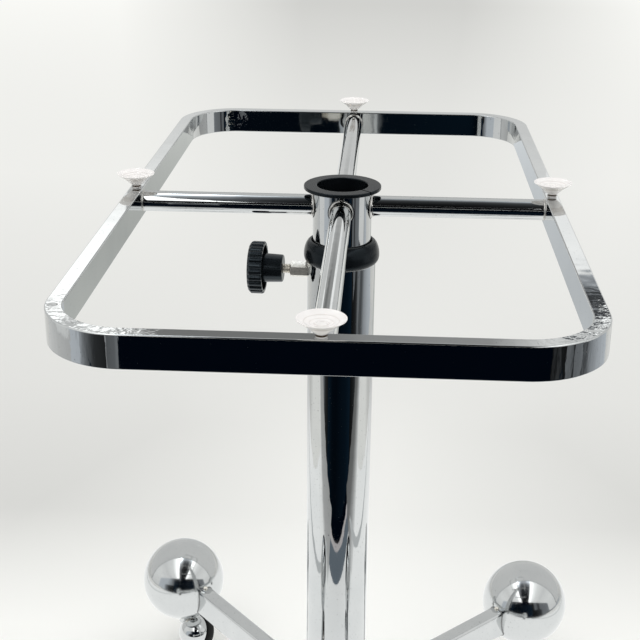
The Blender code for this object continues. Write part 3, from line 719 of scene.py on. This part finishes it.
def make_spoke(name, reach, place, seed):
    """Round tube from the inner tube to the bar, welded at both ends."""
    angles = round_angles(SMALL_STEPS)
    y = SPOKE_RADIUS * np.cos(angles)
    z = SPOKE_RADIUS * np.sin(angles)
    start = np.sqrt(TUBE_RADIUS ** 2 - y ** 2)
    rows = [np.stack((start + (reach - start) * share, y, z), 1) for share in SPOKE_ROWS]
    spoke = "spoke_" + name
    fine(spoke, skin("spoke", np.array(rows), caps=True), CHROME, "top", place)

    count = int(math.tau * SPOKE_RADIUS / WELD_STEP)
    angles = round_angles(count)
    around = np.stack((0 * angles, np.cos(angles), np.sin(angles)), 1)
    points = around * SPOKE_RADIUS
    flat = np.tile((-1.0, 0.0, 0.0), (count, 1))
    weld_bead(spoke + "_end_weld", points + (reach, 0, 0), flat, around, SPOKE_END_WELD, seed, "top", place)
    saddle = points.copy()
    saddle[:, 0] = np.sqrt(TUBE_RADIUS ** 2 - points[:, 1] ** 2)
    tube_out = saddle * (1, 1, 0) / TUBE_RADIUS
    weld_bead(spoke + "_hub_weld", saddle, tube_out, around, SPOKE_HUB_WELD, seed + 4, "top", place)


def make_cup(name, place):
    """Clear suction cup; the rings in its dish and a dark line round its neck carry painted shade."""
    dish = [(0, 0.0092), (0.0034, 0.0091, 0.0006), (0.0038, 0.0098, 0.0003), (0.0046, 0.0098, 0.0003),
            (0.005, 0.0093, 0.0004), (0.0078, 0.0096), (0.0082, 0.0099), (0.0088, 0.0098), (0.0116, 0.0108),
            (0.012, 0.0112), (0.0126, 0.0112), (0.0164, CUP_HEIGHT, 0.0003)]
    bell = [(CUP_RADIUS, CUP_HEIGHT, 0.0002), (CUP_RADIUS, CUP_HEIGHT - 0.0006, 0.0002),
            (0.014, 0.0108, 0.002), (0.0098, 0.0078, 0.002), (0.0064, 0.0046, 0.001)]
    neck = [(0.0042, 0.0026), (0.0037, 0.0022), (0.0037, 0.0016), (0.0044, 0.0012), (0.004, GAP)]
    plug = [(0.0037, GAP), (0.0037, -0.0018), (0.0045, -0.0018, 0.0002), (0.0029, -0.0073, 0.0008),
            (0, -0.0073)]
    mesh = lathe("cup", soft(dish + bell + neck + plug, steps=3), SMALL_STEPS)
    # Painted shade: the ring faces in the dish take the greyer vinyl
    paint(mesh, 1, lambda radius, height: height > CUP_DISH_LOW
          and any(low < radius < high for low, high in CUP_RINGS))
    # Painted shade: the neck's groove faces take the dark vinyl
    paint(mesh, 2, lambda radius, height: CUP_NECK[0] < height < CUP_NECK[1] and radius < CUP_NECK_RADIUS)
    fine("suction_cup_" + name, mesh, CLEAR_PVC, "top", place, (PVC_SHADE, NECK_SHADE))


# Feet


def make_foot(name):
    """Leg, ball, socket and caster of one foot."""
    swivel = joints["caster_swivel_" + name]["pos_m"]
    ball_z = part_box("ball_" + name)[1].z - BALL_RADIUS
    make_leg("leg_" + name, swivel, ball_z, FEET.index(name) + 10)
    make_ball("ball_" + name, Matrix.Translation((swivel[0], swivel[1], ball_z)))
    upright = Matrix.Translation((swivel[0], swivel[1], 0))
    low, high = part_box("caster_socket_" + name)
    outline = ring_outline(SOCKET_RADIUS, SOCKET_RADIUS - STEM_RADIUS - GAP, low.z, high.z, SOCKET_EDGE)
    mesh = lathe("socket", outline, SMALL_STEPS, True)
    fine("caster_socket_" + name, mesh, STEEL, "base", upright)
    make_caster(name, upright, low.z - GAP)


def make_leg(leg, swivel, ball_z, seed):
    """Tube on edge from the column to the ball, with its welds."""
    reach = math.hypot(swivel[0], swivel[1])
    low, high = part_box(leg)
    leg_z = (low.z + high.z) / 2
    drop = ball_z - leg_z
    place = turned_by(math.degrees(math.atan2(swivel[1], swivel[0])), leg_z)

    def ends(points):
        """Where lines along the leg meet the column and the ball."""
        start = np.sqrt(COLUMN_RADIUS ** 2 - points[:, 0] ** 2)
        end = reach - np.sqrt(BALL_RADIUS ** 2 - points[:, 0] ** 2 - (points[:, 1] - drop) ** 2)
        return start, end

    half = LEG_HEIGHT / 2
    wide = LEG_WIDTH / 2
    section = soft([(wide, half, LEG_CORNER), (-wide, half, LEG_CORNER), (-wide, -half, LEG_CORNER),
                    (wide, -half, LEG_CORNER)], True)
    start, end = ends(section)
    rows = [np.column_stack((start + (end - start) * share, section)) for share in LEG_ROWS]
    fine(leg, skin("leg", np.array(rows), caps=True), CHROME, "base", place)

    points, outward = even(section, WELD_STEP)
    out = np.column_stack((np.zeros(len(points)), outward))
    start, end = ends(points)
    line = np.column_stack((start, points))
    column_out = line * (1, 1, 0) / COLUMN_RADIUS
    weld_bead(leg + "_column_weld", line, column_out, out, LEG_COLUMN_WELD, seed, "base", place)
    line = np.column_stack((end, points))
    ball_out = (line - (reach, 0, drop)) / BALL_RADIUS
    # The bead round the ball end takes the darker weld, painted shade of the gap between leg and ball
    weld_bead(leg + "_ball_weld", line, ball_out, out, LEG_BALL_WELD, seed + 4, "base", place, False,
              WELD_PAINTED_SHADE)
    crest = line[np.argmax(points[:, 1] - np.abs(points[:, 0]))]
    nub = lathe("nub", arc((0, 0), (WELD_NUB, WELD_NUB), 90, -90, 16), 32)
    nub.transform(Matrix.Translation(Vector(crest)))
    piece(leg + "_weld_nub", nub, (ZINC,), "base", place=place)


def make_ball(ball, place):
    """Hollow ball, open below for the socket."""
    hole = SOCKET_RADIUS + GAP
    inner = BALL_RADIUS - BALL_WALL
    outside = arc((0, 0), (BALL_RADIUS, BALL_RADIUS), 90, -math.degrees(math.acos(hole / BALL_RADIUS)), 72)
    inside = arc((0, 0), (inner, inner), -math.degrees(math.acos(hole / inner)), 90, 24)
    shell = np.concatenate((outside, inside))
    shell[0, 0] = shell[-1, 0] = 0
    fine(ball, lathe("ball", shell, BALL_STEPS), BALL_CHROME, "base", place)


def make_caster(name, upright, flange_top):
    """Stem, hood, axle, wheel and tyre of one caster."""
    roll = joints["caster_roll_" + name]
    axis = Vector(roll["axis"])
    if axis.z < 0:
        axis = -axis
    wheel = along_axis(roll["pos_m"], axis)
    turning = "caster_swivel_" + name
    rolling = "caster_wheel_" + name

    low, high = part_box("caster_stem_" + name)
    flange_low = flange_top - STEM_FLANGE
    outline = soft([
        (0, high.z), (STEM_RADIUS, high.z, 0.001), (STEM_RADIUS, flange_top, 0.0003),
        (STEM_FLANGE_RADIUS, flange_top, 0.0006), (STEM_FLANGE_RADIUS, flange_low, 0.0006),
        (STEM_FOOT_RADIUS, flange_low), (STEM_FOOT_RADIUS, low.z, 0.0005), (0, low.z)])
    fine("caster_stem_" + name, lathe("stem", outline, PIN_STEPS), STEEL, turning, upright)
    make_hood("caster_hood_" + name, turning, wheel, upright, flange_low - GAP)

    hub = HOOD_RIM - GAP
    end = HOOD_RIM + HOOD_DEPTH - AXLE_DEPTH - GAP
    head = -hub - GAP
    outline = soft([
        (0, end), (AXLE_RADIUS, end, 0.0004), (AXLE_RADIUS, head), (AXLE_HEAD_RADIUS, head, 0.0003),
        (0.0042, -hub - 0.0022, 0.0008), (0, -hub - 0.0025)])
    fine("caster_axle_" + name, lathe("axle", outline, 32), STEEL, turning, wheel)
    outline = soft([
        (HUB_RADIUS, hub, 0.0005), (HUB_RADIUS, WHEEL_HALF, 0.0008), (WHEEL_RADIUS, WHEEL_HALF, 0.0004),
        (WHEEL_RADIUS, -WHEEL_HALF, 0.0004), (HUB_RADIUS, -WHEEL_HALF, 0.0008), (HUB_RADIUS, -hub, 0.0005),
        (AXLE_BORE, -hub, 0.0003), (AXLE_BORE, hub, 0.0003)], True, 3)
    fine("caster_wheel_" + name, lathe("wheel", outline, SMALL_STEPS, True), STEEL, rolling, wheel)
    tread = arc((TYRE_RING, 0), (TYRE_ROUND, TYRE_ROUND), 90, -90, 18)
    seat = WHEEL_RADIUS + GAP
    outline = np.concatenate((tread, [(seat, -TYRE_ROUND), (seat, TYRE_ROUND)]))
    fine("caster_tyre_" + name, lathe("tyre", outline, SMALL_STEPS, True), RUBBER, rolling, wheel)


def make_hood(hood, turning, wheel, upright, boss_top):
    """Domed hood with a post for the axle, and a boss that holds the stem."""
    crown = HOOD_RIM + HOOD_DEPTH
    inside = (HOOD_RADIUS - HOOD_WALL, HOOD_DEPTH - HOOD_WALL)
    dome = [tuple(p) for p in arc((0, HOOD_RIM), (HOOD_RADIUS, HOOD_DEPTH), 90, 0, 20)]
    dome[0] = (0, crown)
    post = math.degrees(math.acos(HOOD_POST_RADIUS / inside[0]))
    lining = [tuple(p) for p in arc((0, HOOD_RIM), inside, 0, post, 12)]
    socket = [(HOOD_POST_RADIUS, HOOD_RIM), (AXLE_BORE, HOOD_RIM), (AXLE_BORE, crown - AXLE_DEPTH),
              (0, crown - AXLE_DEPTH)]
    mesh = lathe("hood", np.array(dome + lining + socket), SMALL_STEPS)
    made = fine(hood, mesh, CHROME, turning, wheel)
    boss_low = boss_top - BOSS_HEIGHT
    outline = soft([(0, boss_top), (BOSS_RADIUS, boss_top, 0.0008), (BOSS_RADIUS, boss_low), (0, boss_low)])
    boss = lathe("boss", outline, PIN_STEPS)
    boss.transform(upright)
    cut(made, boss, "UNION")
    clear = boss_top + SEAT_CLEAR_HEIGHT
    floor = boss_low + BOSS_FLOOR
    seat = lathe("seat", np.array([(0, clear), (SEAT_CLEAR_RADIUS, clear), (SEAT_CLEAR_RADIUS, boss_top),
                                   (SEAT_RADIUS, boss_top), (SEAT_RADIUS, floor), (0, floor)]), PIN_STEPS)
    seat.transform(upright)
    cut(made, seat)


# Stage


def ramp(tree, factor, stops):
    """A grey level that follows a factor straight from stop to stop, each a place and its level."""
    places = list(stops)
    first, last = places[0], places[-1]
    made = node(tree, "ValToRGB", {"Fac": spread(tree, factor, first, last)})
    elements = made.color_ramp.elements
    for at, level in stops.items():
        share = (at - first) / (last - first)
        element = elements[0] if at == first else elements[-1] if at == last else elements.new(share)
        element.position = share
        element.color = (level, level, level, 1.0)
    return made.outputs["Color"]


def emission(name, colour, ramps):
    """A glowing material whose level changes along the axes of its ramps."""
    made = bpy.data.materials.new(name)
    made.use_nodes = True
    tree = made.node_tree
    tree.nodes.clear()
    glow = node(tree, "Emission", {"Color": (*colour, 1.0), "Strength": 1.0})
    place = node(tree, "TexCoord")
    parts = node(tree, "SeparateXYZ", {"Vector": place.outputs["Object"]})
    level = 1.0
    for axis, stops in ramps.items():
        level = maths(tree, "MULTIPLY", ramp(tree, parts.outputs[axis], stops), level)
    if ramps:
        tree.links.new(level, glow.inputs["Strength"])
    node(tree, "OutputMaterial", {"Surface": glow.outputs["Emission"]})
    return made


def card(name, corners, colour, **ramps):
    """A studio card that only reflections see."""
    made = sheet(name, corners, emission(name, colour, ramps))
    for ray in ("camera", "diffuse", "transmission", "shadow", "volume_scatter"):
        setattr(made, "visible_" + ray, False)


def floor_card(name, left, right, near, far, height, colour, **ramps):
    """A card lying on the floor."""
    corners = [(left, near, height), (right, near, height), (right, far, height), (left, far, height)]
    card(name, corners, colour, **ramps)


def wall_card(name, left, right, y, low, high, colour, **ramps):
    """A card standing across the view."""
    card(name, [(left, y, low), (right, y, low), (right, y, high), (left, y, high)], colour, **ramps)


def side_card(name, x, near, far, high, colour, **ramps):
    """A card standing along the view, on the floor."""
    card(name, [(x, near, 0.0), (x, far, 0.0), (x, far, high), (x, near, high)], colour, **ramps)


BACKDROP = (0.72, 0.726, 0.718)
AMBIENT = 0.95
FLOOR_REACH = 40.0
FLOOR_TINT = (0.998, 1.0, 0.967)
FLOOR_FADE = 7.5
NAVY = (0.0008, 0.0024, 0.006)
TEAL = (0.0026, 0.0068, 0.0125)
PALE = (1.0, 1.01, 1.0)
COOL = (0.94, 1.0, 1.06)
RIM_GREY = (0.2, 0.21, 0.22)
SEAM_GREY = (0.6, 0.62, 0.62)
SEAM_WIDTH = 0.032

# Heights that keep the floor cards apart
GLOW_Z = 0.0004
FRONT_Z = 0.0006
PATCH_Z = 0.0008
SEAM_Z = 0.001

# Places of the cards: the dark opening in front, the panels overhead and the wall behind
FRONT = -0.6
FRONT_TOP = 0.62
DARK_LEFT = -0.22
DARK_RIGHT = 0.37
OVERHEAD = 1.6
PANEL_NEAR = -2.5
PANEL_FAR = 0.25
PANEL_LEFT = -1.8
PANEL_RIGHT = 1.9
GAP_LEFT = -0.37
GAP_RIGHT = 0.5
RIM_FAR = 0.29
BACK = 6.0
BACK_LOW = 1.9
BACK_MID = 2.88
BACK_LEFT = -2.3
BACK_RIGHT = 1.7


def make_light():
    """World and two soft lamps."""
    scene = bpy.context.scene
    scene.view_settings.view_transform = "Standard"
    world = bpy.data.worlds.new("studio")
    scene.world = world
    world.use_nodes = True
    tree = world.node_tree
    tree.nodes.clear()
    path = node(tree, "LightPath").outputs
    seen = maths(tree, "ADD", path["Is Camera Ray"], path["Is Glossy Ray"])
    seen = maths(tree, "ADD", seen, path["Is Transmission Ray"], use_clamp=True)
    light = node(tree, "Background", {"Color": (1.0, 1.0, 1.0, 1.0), "Strength": AMBIENT})
    shown = node(tree, "Background", {"Color": (*BACKDROP, 1.0), "Strength": 1.0})
    both = node(tree, "MixShader", {0: seen, 1: light.outputs[0], 2: shown.outputs[0]})
    node(tree, "OutputWorld", {"Surface": both.outputs[0]})
    for name, place, power in (("key_light", (-0.9, -0.5, 2.6), 9), ("fill_light", (1.3, 0.6, 2.4), 8)):
        data = bpy.data.lights.new(name, "AREA")
        data.shape = "DISK"
        data.size = 1.8
        data.energy = power
        lamp = add(name, data)
        lamp.matrix_world = along_axis(place, Vector(place) - Vector((0, 0, 0.4)))
        lamp.visible_glossy = False


def make_floor():
    """Pale sweep whose colour holds painted light and shade: brighter near the stand and in its far corners.
    """
    finish, tree, shader = principled("floor_painted_light", Roughness=0.9, Specular_IOR_Level=0.0)
    place = node(tree, "TexCoord").outputs["Object"]
    parts = node(tree, "SeparateXYZ", {"Vector": place}).outputs
    away = parts["Y"]
    # Painted light and shade: the floor's colour follows the studio light's falloff along and across the view
    middle = ramp(tree, away, {-0.7: 0.86, 0.25: 0.95, 0.55: 0.81, 1.0: 0.75, 3.5: 0.785, 6.5: 0.67})
    sides = ramp(tree, away, {0.25: 0.86, 0.55: 0.63, 1.0: 0.71, 2.5: 0.86, 6.5: 1.0})
    aside = node(tree, "Math", {0: parts["X"]}, operation="ABSOLUTE").outputs[0]
    near = spread(tree, away, 0.0, 6.5, 0.0, 0.5)
    far = ramp(tree, away, {0.25: 0.6, 0.55: 0.5, 0.85: 0.33, 1.5: 0.5, 6.5: 1.65})
    share = spread(tree, aside, near, far)
    cloud = spread(tree, grain(tree, 0.8, 2.0), 0.0, 1.0, -0.02, 0.02)
    level = maths(tree, "ADD", share, cloud, use_clamp=True)
    distance = node(tree, "VectorMath", {0: place}, operation="LENGTH").outputs["Value"]
    # Far off, the colour fades to the backdrop's level so the floor meets the backdrop unseen
    horizon = spread(tree, distance, FLOOR_FADE, FLOOR_FADE * 2)
    sweep = blend_colour(tree, level, middle, sides)
    shade = blend_colour(tree, horizon, sweep, tuple(c / AMBIENT for c in BACKDROP))
    tinted = node(tree, "VectorMath", {0: shade, 1: FLOOR_TINT}, operation="MULTIPLY")
    tree.links.new(tinted.outputs["Vector"], shader.inputs["Base Color"])
    corners = [(x * FLOOR_REACH, y * FLOOR_REACH, 0) for x, y in ((-1, -1), (1, -1), (1, 1), (-1, 1))]
    sheet("floor", corners, finish)


def make_floor_cards():
    """What the chrome sees of the floor: a bright middle, the sweep's edge and the dark room past it."""
    floor_card("floor_glow", -0.75, 0.75, -0.43, 0.9, GLOW_Z, PALE,
               Y={-0.43: 0.95, -0.2: 1.1, 0.5: 1.1, 0.9: 0.75})
    floor_card("floor_front_left", -1.2, DARK_LEFT, FRONT, -0.36, FRONT_Z, PALE,
               Y={FRONT: 0.42, -0.42: 0.5, -0.36: 0.9})
    floor_card("floor_front_right", DARK_RIGHT, 1.2, FRONT, -0.24, FRONT_Z, PALE,
               Y={FRONT: 0.16, -0.46: 0.2, -0.36: 0.44, -0.24: 0.9})
    floor_card("floor_edge", DARK_LEFT, DARK_RIGHT, -0.51, -0.43, PATCH_Z, (0.15, 0.18, 0.21))
    floor_card("floor_line", DARK_LEFT, DARK_RIGHT, -0.54, -0.51, PATCH_Z, (0.55, 0.52, 0.52))
    floor_card("dark_floor", DARK_LEFT, DARK_RIGHT, FRONT, -0.54, PATCH_Z, NAVY)
    floor_card("side_floor_left", -2.3, -1.2, FRONT, 0.8, PATCH_Z, PALE,
               Y={FRONT: 0.56, 0.0: 0.62, 0.8: 0.72})
    floor_card("side_floor_right", 1.2, 2.3, FRONT, 0.8, PATCH_Z, COOL,
               Y={FRONT: 0.05, -0.5: 0.14, -0.45: 0.07, -0.3: 0.16, -0.1: 0.36, 0.3: 0.52, 0.8: 0.64})
    floor_card("far_floor_left", -3.6, -2.3, -1.6, 2.4, PATCH_Z, PALE,
               Y={-1.6: 0.3, -0.2: 0.52, 0.6: 0.62, 2.4: 0.4})
    floor_card("far_floor_right", 2.3, 3.6, -1.6, 2.4, PATCH_Z, PALE,
               Y={-1.6: 0.3, -0.2: 0.55, 0.6: 0.5, 2.4: 0.36})
    floor_card("back_floor_right", 0.05, 0.8, 1.0, 3.6, PATCH_Z, (0.97, 1.0, 0.96),
               Y={1.0: 0.62, 1.9: 0.495, 2.4: 0.55, 3.6: 0.75})
    floor_card("back_floor_left", -0.6, 0.05, 1.1, 3.6, PATCH_Z, (0.95, 1.0, 1.03),
               Y={1.1: 0.66, 1.5: 0.58, 2.3: 0.65, 3.6: 0.82})
    make_seam("left_seam", -1, ((0.3, -0.43), (0.49, 0.0), (0.62, 0.6), (0.8, 1.3), (1.5, 1.5)))
    make_seam("right_seam", 1, ((0.42, -0.43), (0.53, 0.0), (0.66, 0.6), (0.85, 1.3), (1.5, 1.5)))


def make_seam(name, side, stops):
    """A grey line on the floor through the stops, on one side of the stand."""
    for i, ((x0, y0), (x1, y1)) in enumerate(zip(stops, stops[1:])):
        corners = [(x0, y0), (x0 + SEAM_WIDTH, y0), (x1 + SEAM_WIDTH, y1), (x1, y1)]
        card("%s_%d" % (name, i), [(side * x, y, SEAM_Z) for x, y in corners], SEAM_GREY)


def make_front_cards():
    """The dark opening in front of the stand, with a post on its left and folds on its right."""
    wall_card("opening", -0.196, 0.335, FRONT, 0.0, FRONT_TOP, NAVY)
    wall_card("left_wall", -2.4, -0.268, FRONT, 0.0, FRONT_TOP, COOL,
              X={-2.4: 0.66, -0.8: 0.62, -0.64: 0.36, -0.5: 0.14, -0.37: 0.035, -0.268: 0.02})
    wall_card("left_post_edge", -0.268, -0.261, FRONT, 0.0, FRONT_TOP, (0.3, 0.31, 0.32))
    wall_card("left_post", -0.261, -0.196, FRONT, 0.0, FRONT_TOP, COOL,
              X={-0.261: 0.12, -0.21: 0.15, -0.196: 0.22})
    wall_card("right_wall", 0.335, 2.4, FRONT, 0.0, FRONT_TOP, COOL,
              X={0.335: 0.005, 0.358: 0.035, 0.378: 0.008, 0.415: 0.05, 0.46: 0.012, 0.545: 0.01,
                 0.575: 0.19, 0.7: 0.12, 0.79: 0.012, 0.88: 0.18, 1.6: 0.22, 2.4: 0.5})
    wall_card("low_middle", -0.47, 0.47, FRONT + 0.004, 0.0, 0.485, TEAL,
              X={-0.47: 2.0, -0.25: 0.6, -0.1: 0.5, 0.1: 0.9, 0.25: 1.1, 0.47: 2.0})
    wall_card("low_front", -1.0, 1.0, FRONT + 0.003, 0.0, 0.28, COOL,
              X={-1.0: 0.45, -0.86: 0.2, -0.7: 0.03, -0.47: 0.008, 0.47: 0.006, 0.74: 0.02,
                 0.9: 0.05, 1.0: 0.14})
    wall_card("soffit", -1.6, 1.9, -2.55, 0.3, OVERHEAD, COOL,
              X={-1.6: 0.5, -0.9: 0.03, -0.5: 0.006, 0.6: 0.006, 1.1: 0.03, 1.9: 0.5})


def make_overhead_cards():
    """Two bright panels overhead, the dark gap between them and the thin rim of the tent."""
    floor_card("left_panel", PANEL_LEFT, GAP_LEFT, PANEL_NEAR, PANEL_FAR, OVERHEAD, PALE,
               X={PANEL_LEFT: 0.8, -0.9: 1.0, -0.7: 1.5, -0.5: 2.2, GAP_LEFT: 2.4})
    floor_card("right_panel", GAP_RIGHT, PANEL_RIGHT, PANEL_NEAR, PANEL_FAR, OVERHEAD, PALE,
               X={GAP_RIGHT: 2.3, 0.62: 2.1, 0.8: 1.4, 1.1: 1.0, PANEL_RIGHT: 0.8})
    floor_card("panel_gap", GAP_LEFT, GAP_RIGHT, PANEL_NEAR, PANEL_FAR, OVERHEAD, COOL,
               Y={PANEL_NEAR: 0.006, -1.4: 0.008, -0.76: 0.016, -0.25: 0.05, 0.0: 0.16,
                  0.15: 0.45, PANEL_FAR: 0.7},
               X={GAP_LEFT: 13.0, -0.25: 8.0, -0.2: 3.4, -0.1: 1.2, 0.0: 1.0, 0.2: 1.0, GAP_RIGHT: 3.0})
    high = OVERHEAD + 0.02
    floor_card("rim_top", PANEL_LEFT, PANEL_RIGHT, PANEL_FAR, RIM_FAR, high, RIM_GREY)
    for name, x in (("rim_left", PANEL_LEFT), ("rim_right", PANEL_RIGHT)):
        side_card(name, x, PANEL_FAR, RIM_FAR, high, RIM_GREY)
        side_card(name + "_wall", x, PANEL_NEAR, PANEL_FAR, OVERHEAD, PALE,
                  Z={0.0: 0.8, 0.8: 0.95, OVERHEAD: 0.85})


def make_back_cards():
    """What the top faces mirror: a shaded middle between bright strips, hidden from the balls."""
    wall_card("back_hide_left", -0.55, -0.07, 0.45, 0.22, 0.32, BACKDROP)
    wall_card("back_hide_right", 0.07, 0.55, 0.45, 0.22, 0.32, BACKDROP)
    wall_card("back_high", BACK_LEFT, BACK_RIGHT, BACK, BACK_MID, 3.45, PALE,
              X={BACK_LEFT: 1.6, -1.62: 1.6, -1.5: 0.55, -1.4: 0.24, -0.35: 0.24, 0.0: 0.36,
                 0.72: 0.37, 0.88: 0.55, 1.1: 0.9, BACK_RIGHT: 0.95})
    wall_card("back_low_middle", -1.54, 1.0, BACK, BACK_LOW, BACK_MID, PALE,
              Z={BACK_LOW: 0.74, 2.4: 0.57, BACK_MID: 0.36})
    wall_card("back_left_fade", -1.54, -0.9, BACK - 0.01, BACK_LOW, 2.38, PALE,
              Z={BACK_LOW: 0.8, 2.1: 0.88, 2.33: 1.06, 2.38: 0.65}, X={-1.54: 1.0, -1.05: 1.0, -0.9: 0.85})
    wall_card("back_right_fade", 0.6, 1.0, BACK - 0.01, BACK_LOW, 2.38, PALE,
              Z={BACK_LOW: 0.72, 2.1: 0.8, 2.33: 0.87, 2.38: 0.65}, X={0.6: 0.9, 0.7: 1.0, 1.0: 1.0})
    wall_card("back_low_left", BACK_LEFT, -1.54, BACK, 2.2, BACK_MID, PALE,
              Z={2.2: 0.85, 2.4: 1.1, 2.6: 1.4, BACK_MID: 1.6})
    wall_card("back_low_right", 1.0, BACK_RIGHT, BACK, BACK_LOW, BACK_MID, PALE,
              Z={BACK_LOW: 0.85, 2.2: 1.05, 2.84: 1.2, BACK_MID: 0.9})
    wall_card("back_spot", 1.15, BACK_RIGHT, BACK - 0.01, BACK_MID, 3.22, COOL,
              Z={BACK_MID: 0.5, 2.95: 0.3, 3.0: 0.08, 3.08: 0.04, 3.13: 0.22, 3.22: 0.3})
    wall_card("back_patch", 1.395, BACK_RIGHT, BACK - 0.02, 3.115, 3.21, PALE,
              X={1.395: 0.7, 1.42: 1.7, BACK_RIGHT: 1.7})


def make_stage():
    """Pale floor, plain light and the cards that the chrome mirrors."""
    make_light()
    make_floor()
    make_floor_cards()
    make_front_cards()
    make_overhead_cards()
    make_back_cards()


def make_camera():
    """The camera at the photo's place."""
    data = bpy.data.cameras.new("camera")
    data.lens = LENS
    data.sensor_width = SENSOR_WIDTH
    level = math.cos(CAMERA_PITCH)
    ahead = Vector((-math.sin(CAMERA_YAW) * level, math.cos(CAMERA_YAW) * level, -math.sin(CAMERA_PITCH)))
    right = Vector((math.cos(CAMERA_YAW), math.sin(CAMERA_YAW), 0))
    down = ahead.cross(right)
    across = right * math.cos(CAMERA_ROLL) + down * math.sin(CAMERA_ROLL)
    below = down * math.cos(CAMERA_ROLL) - right * math.sin(CAMERA_ROLL)
    turn = Matrix((across, -below, -ahead)).transposed().to_4x4()
    camera = add("camera", data)
    camera.matrix_world = Matrix.Translation(CAMERA_PLACE) @ turn
    bpy.context.scene.camera = camera


make_camera()
make_stage()
make_column()
make_top()
for foot in FEET:
    make_foot(foot)
guide_finishes = frame["nodes"]["lower_guide_bush"].data.materials
guide_finishes.clear()
guide_finishes.append(NYLON)
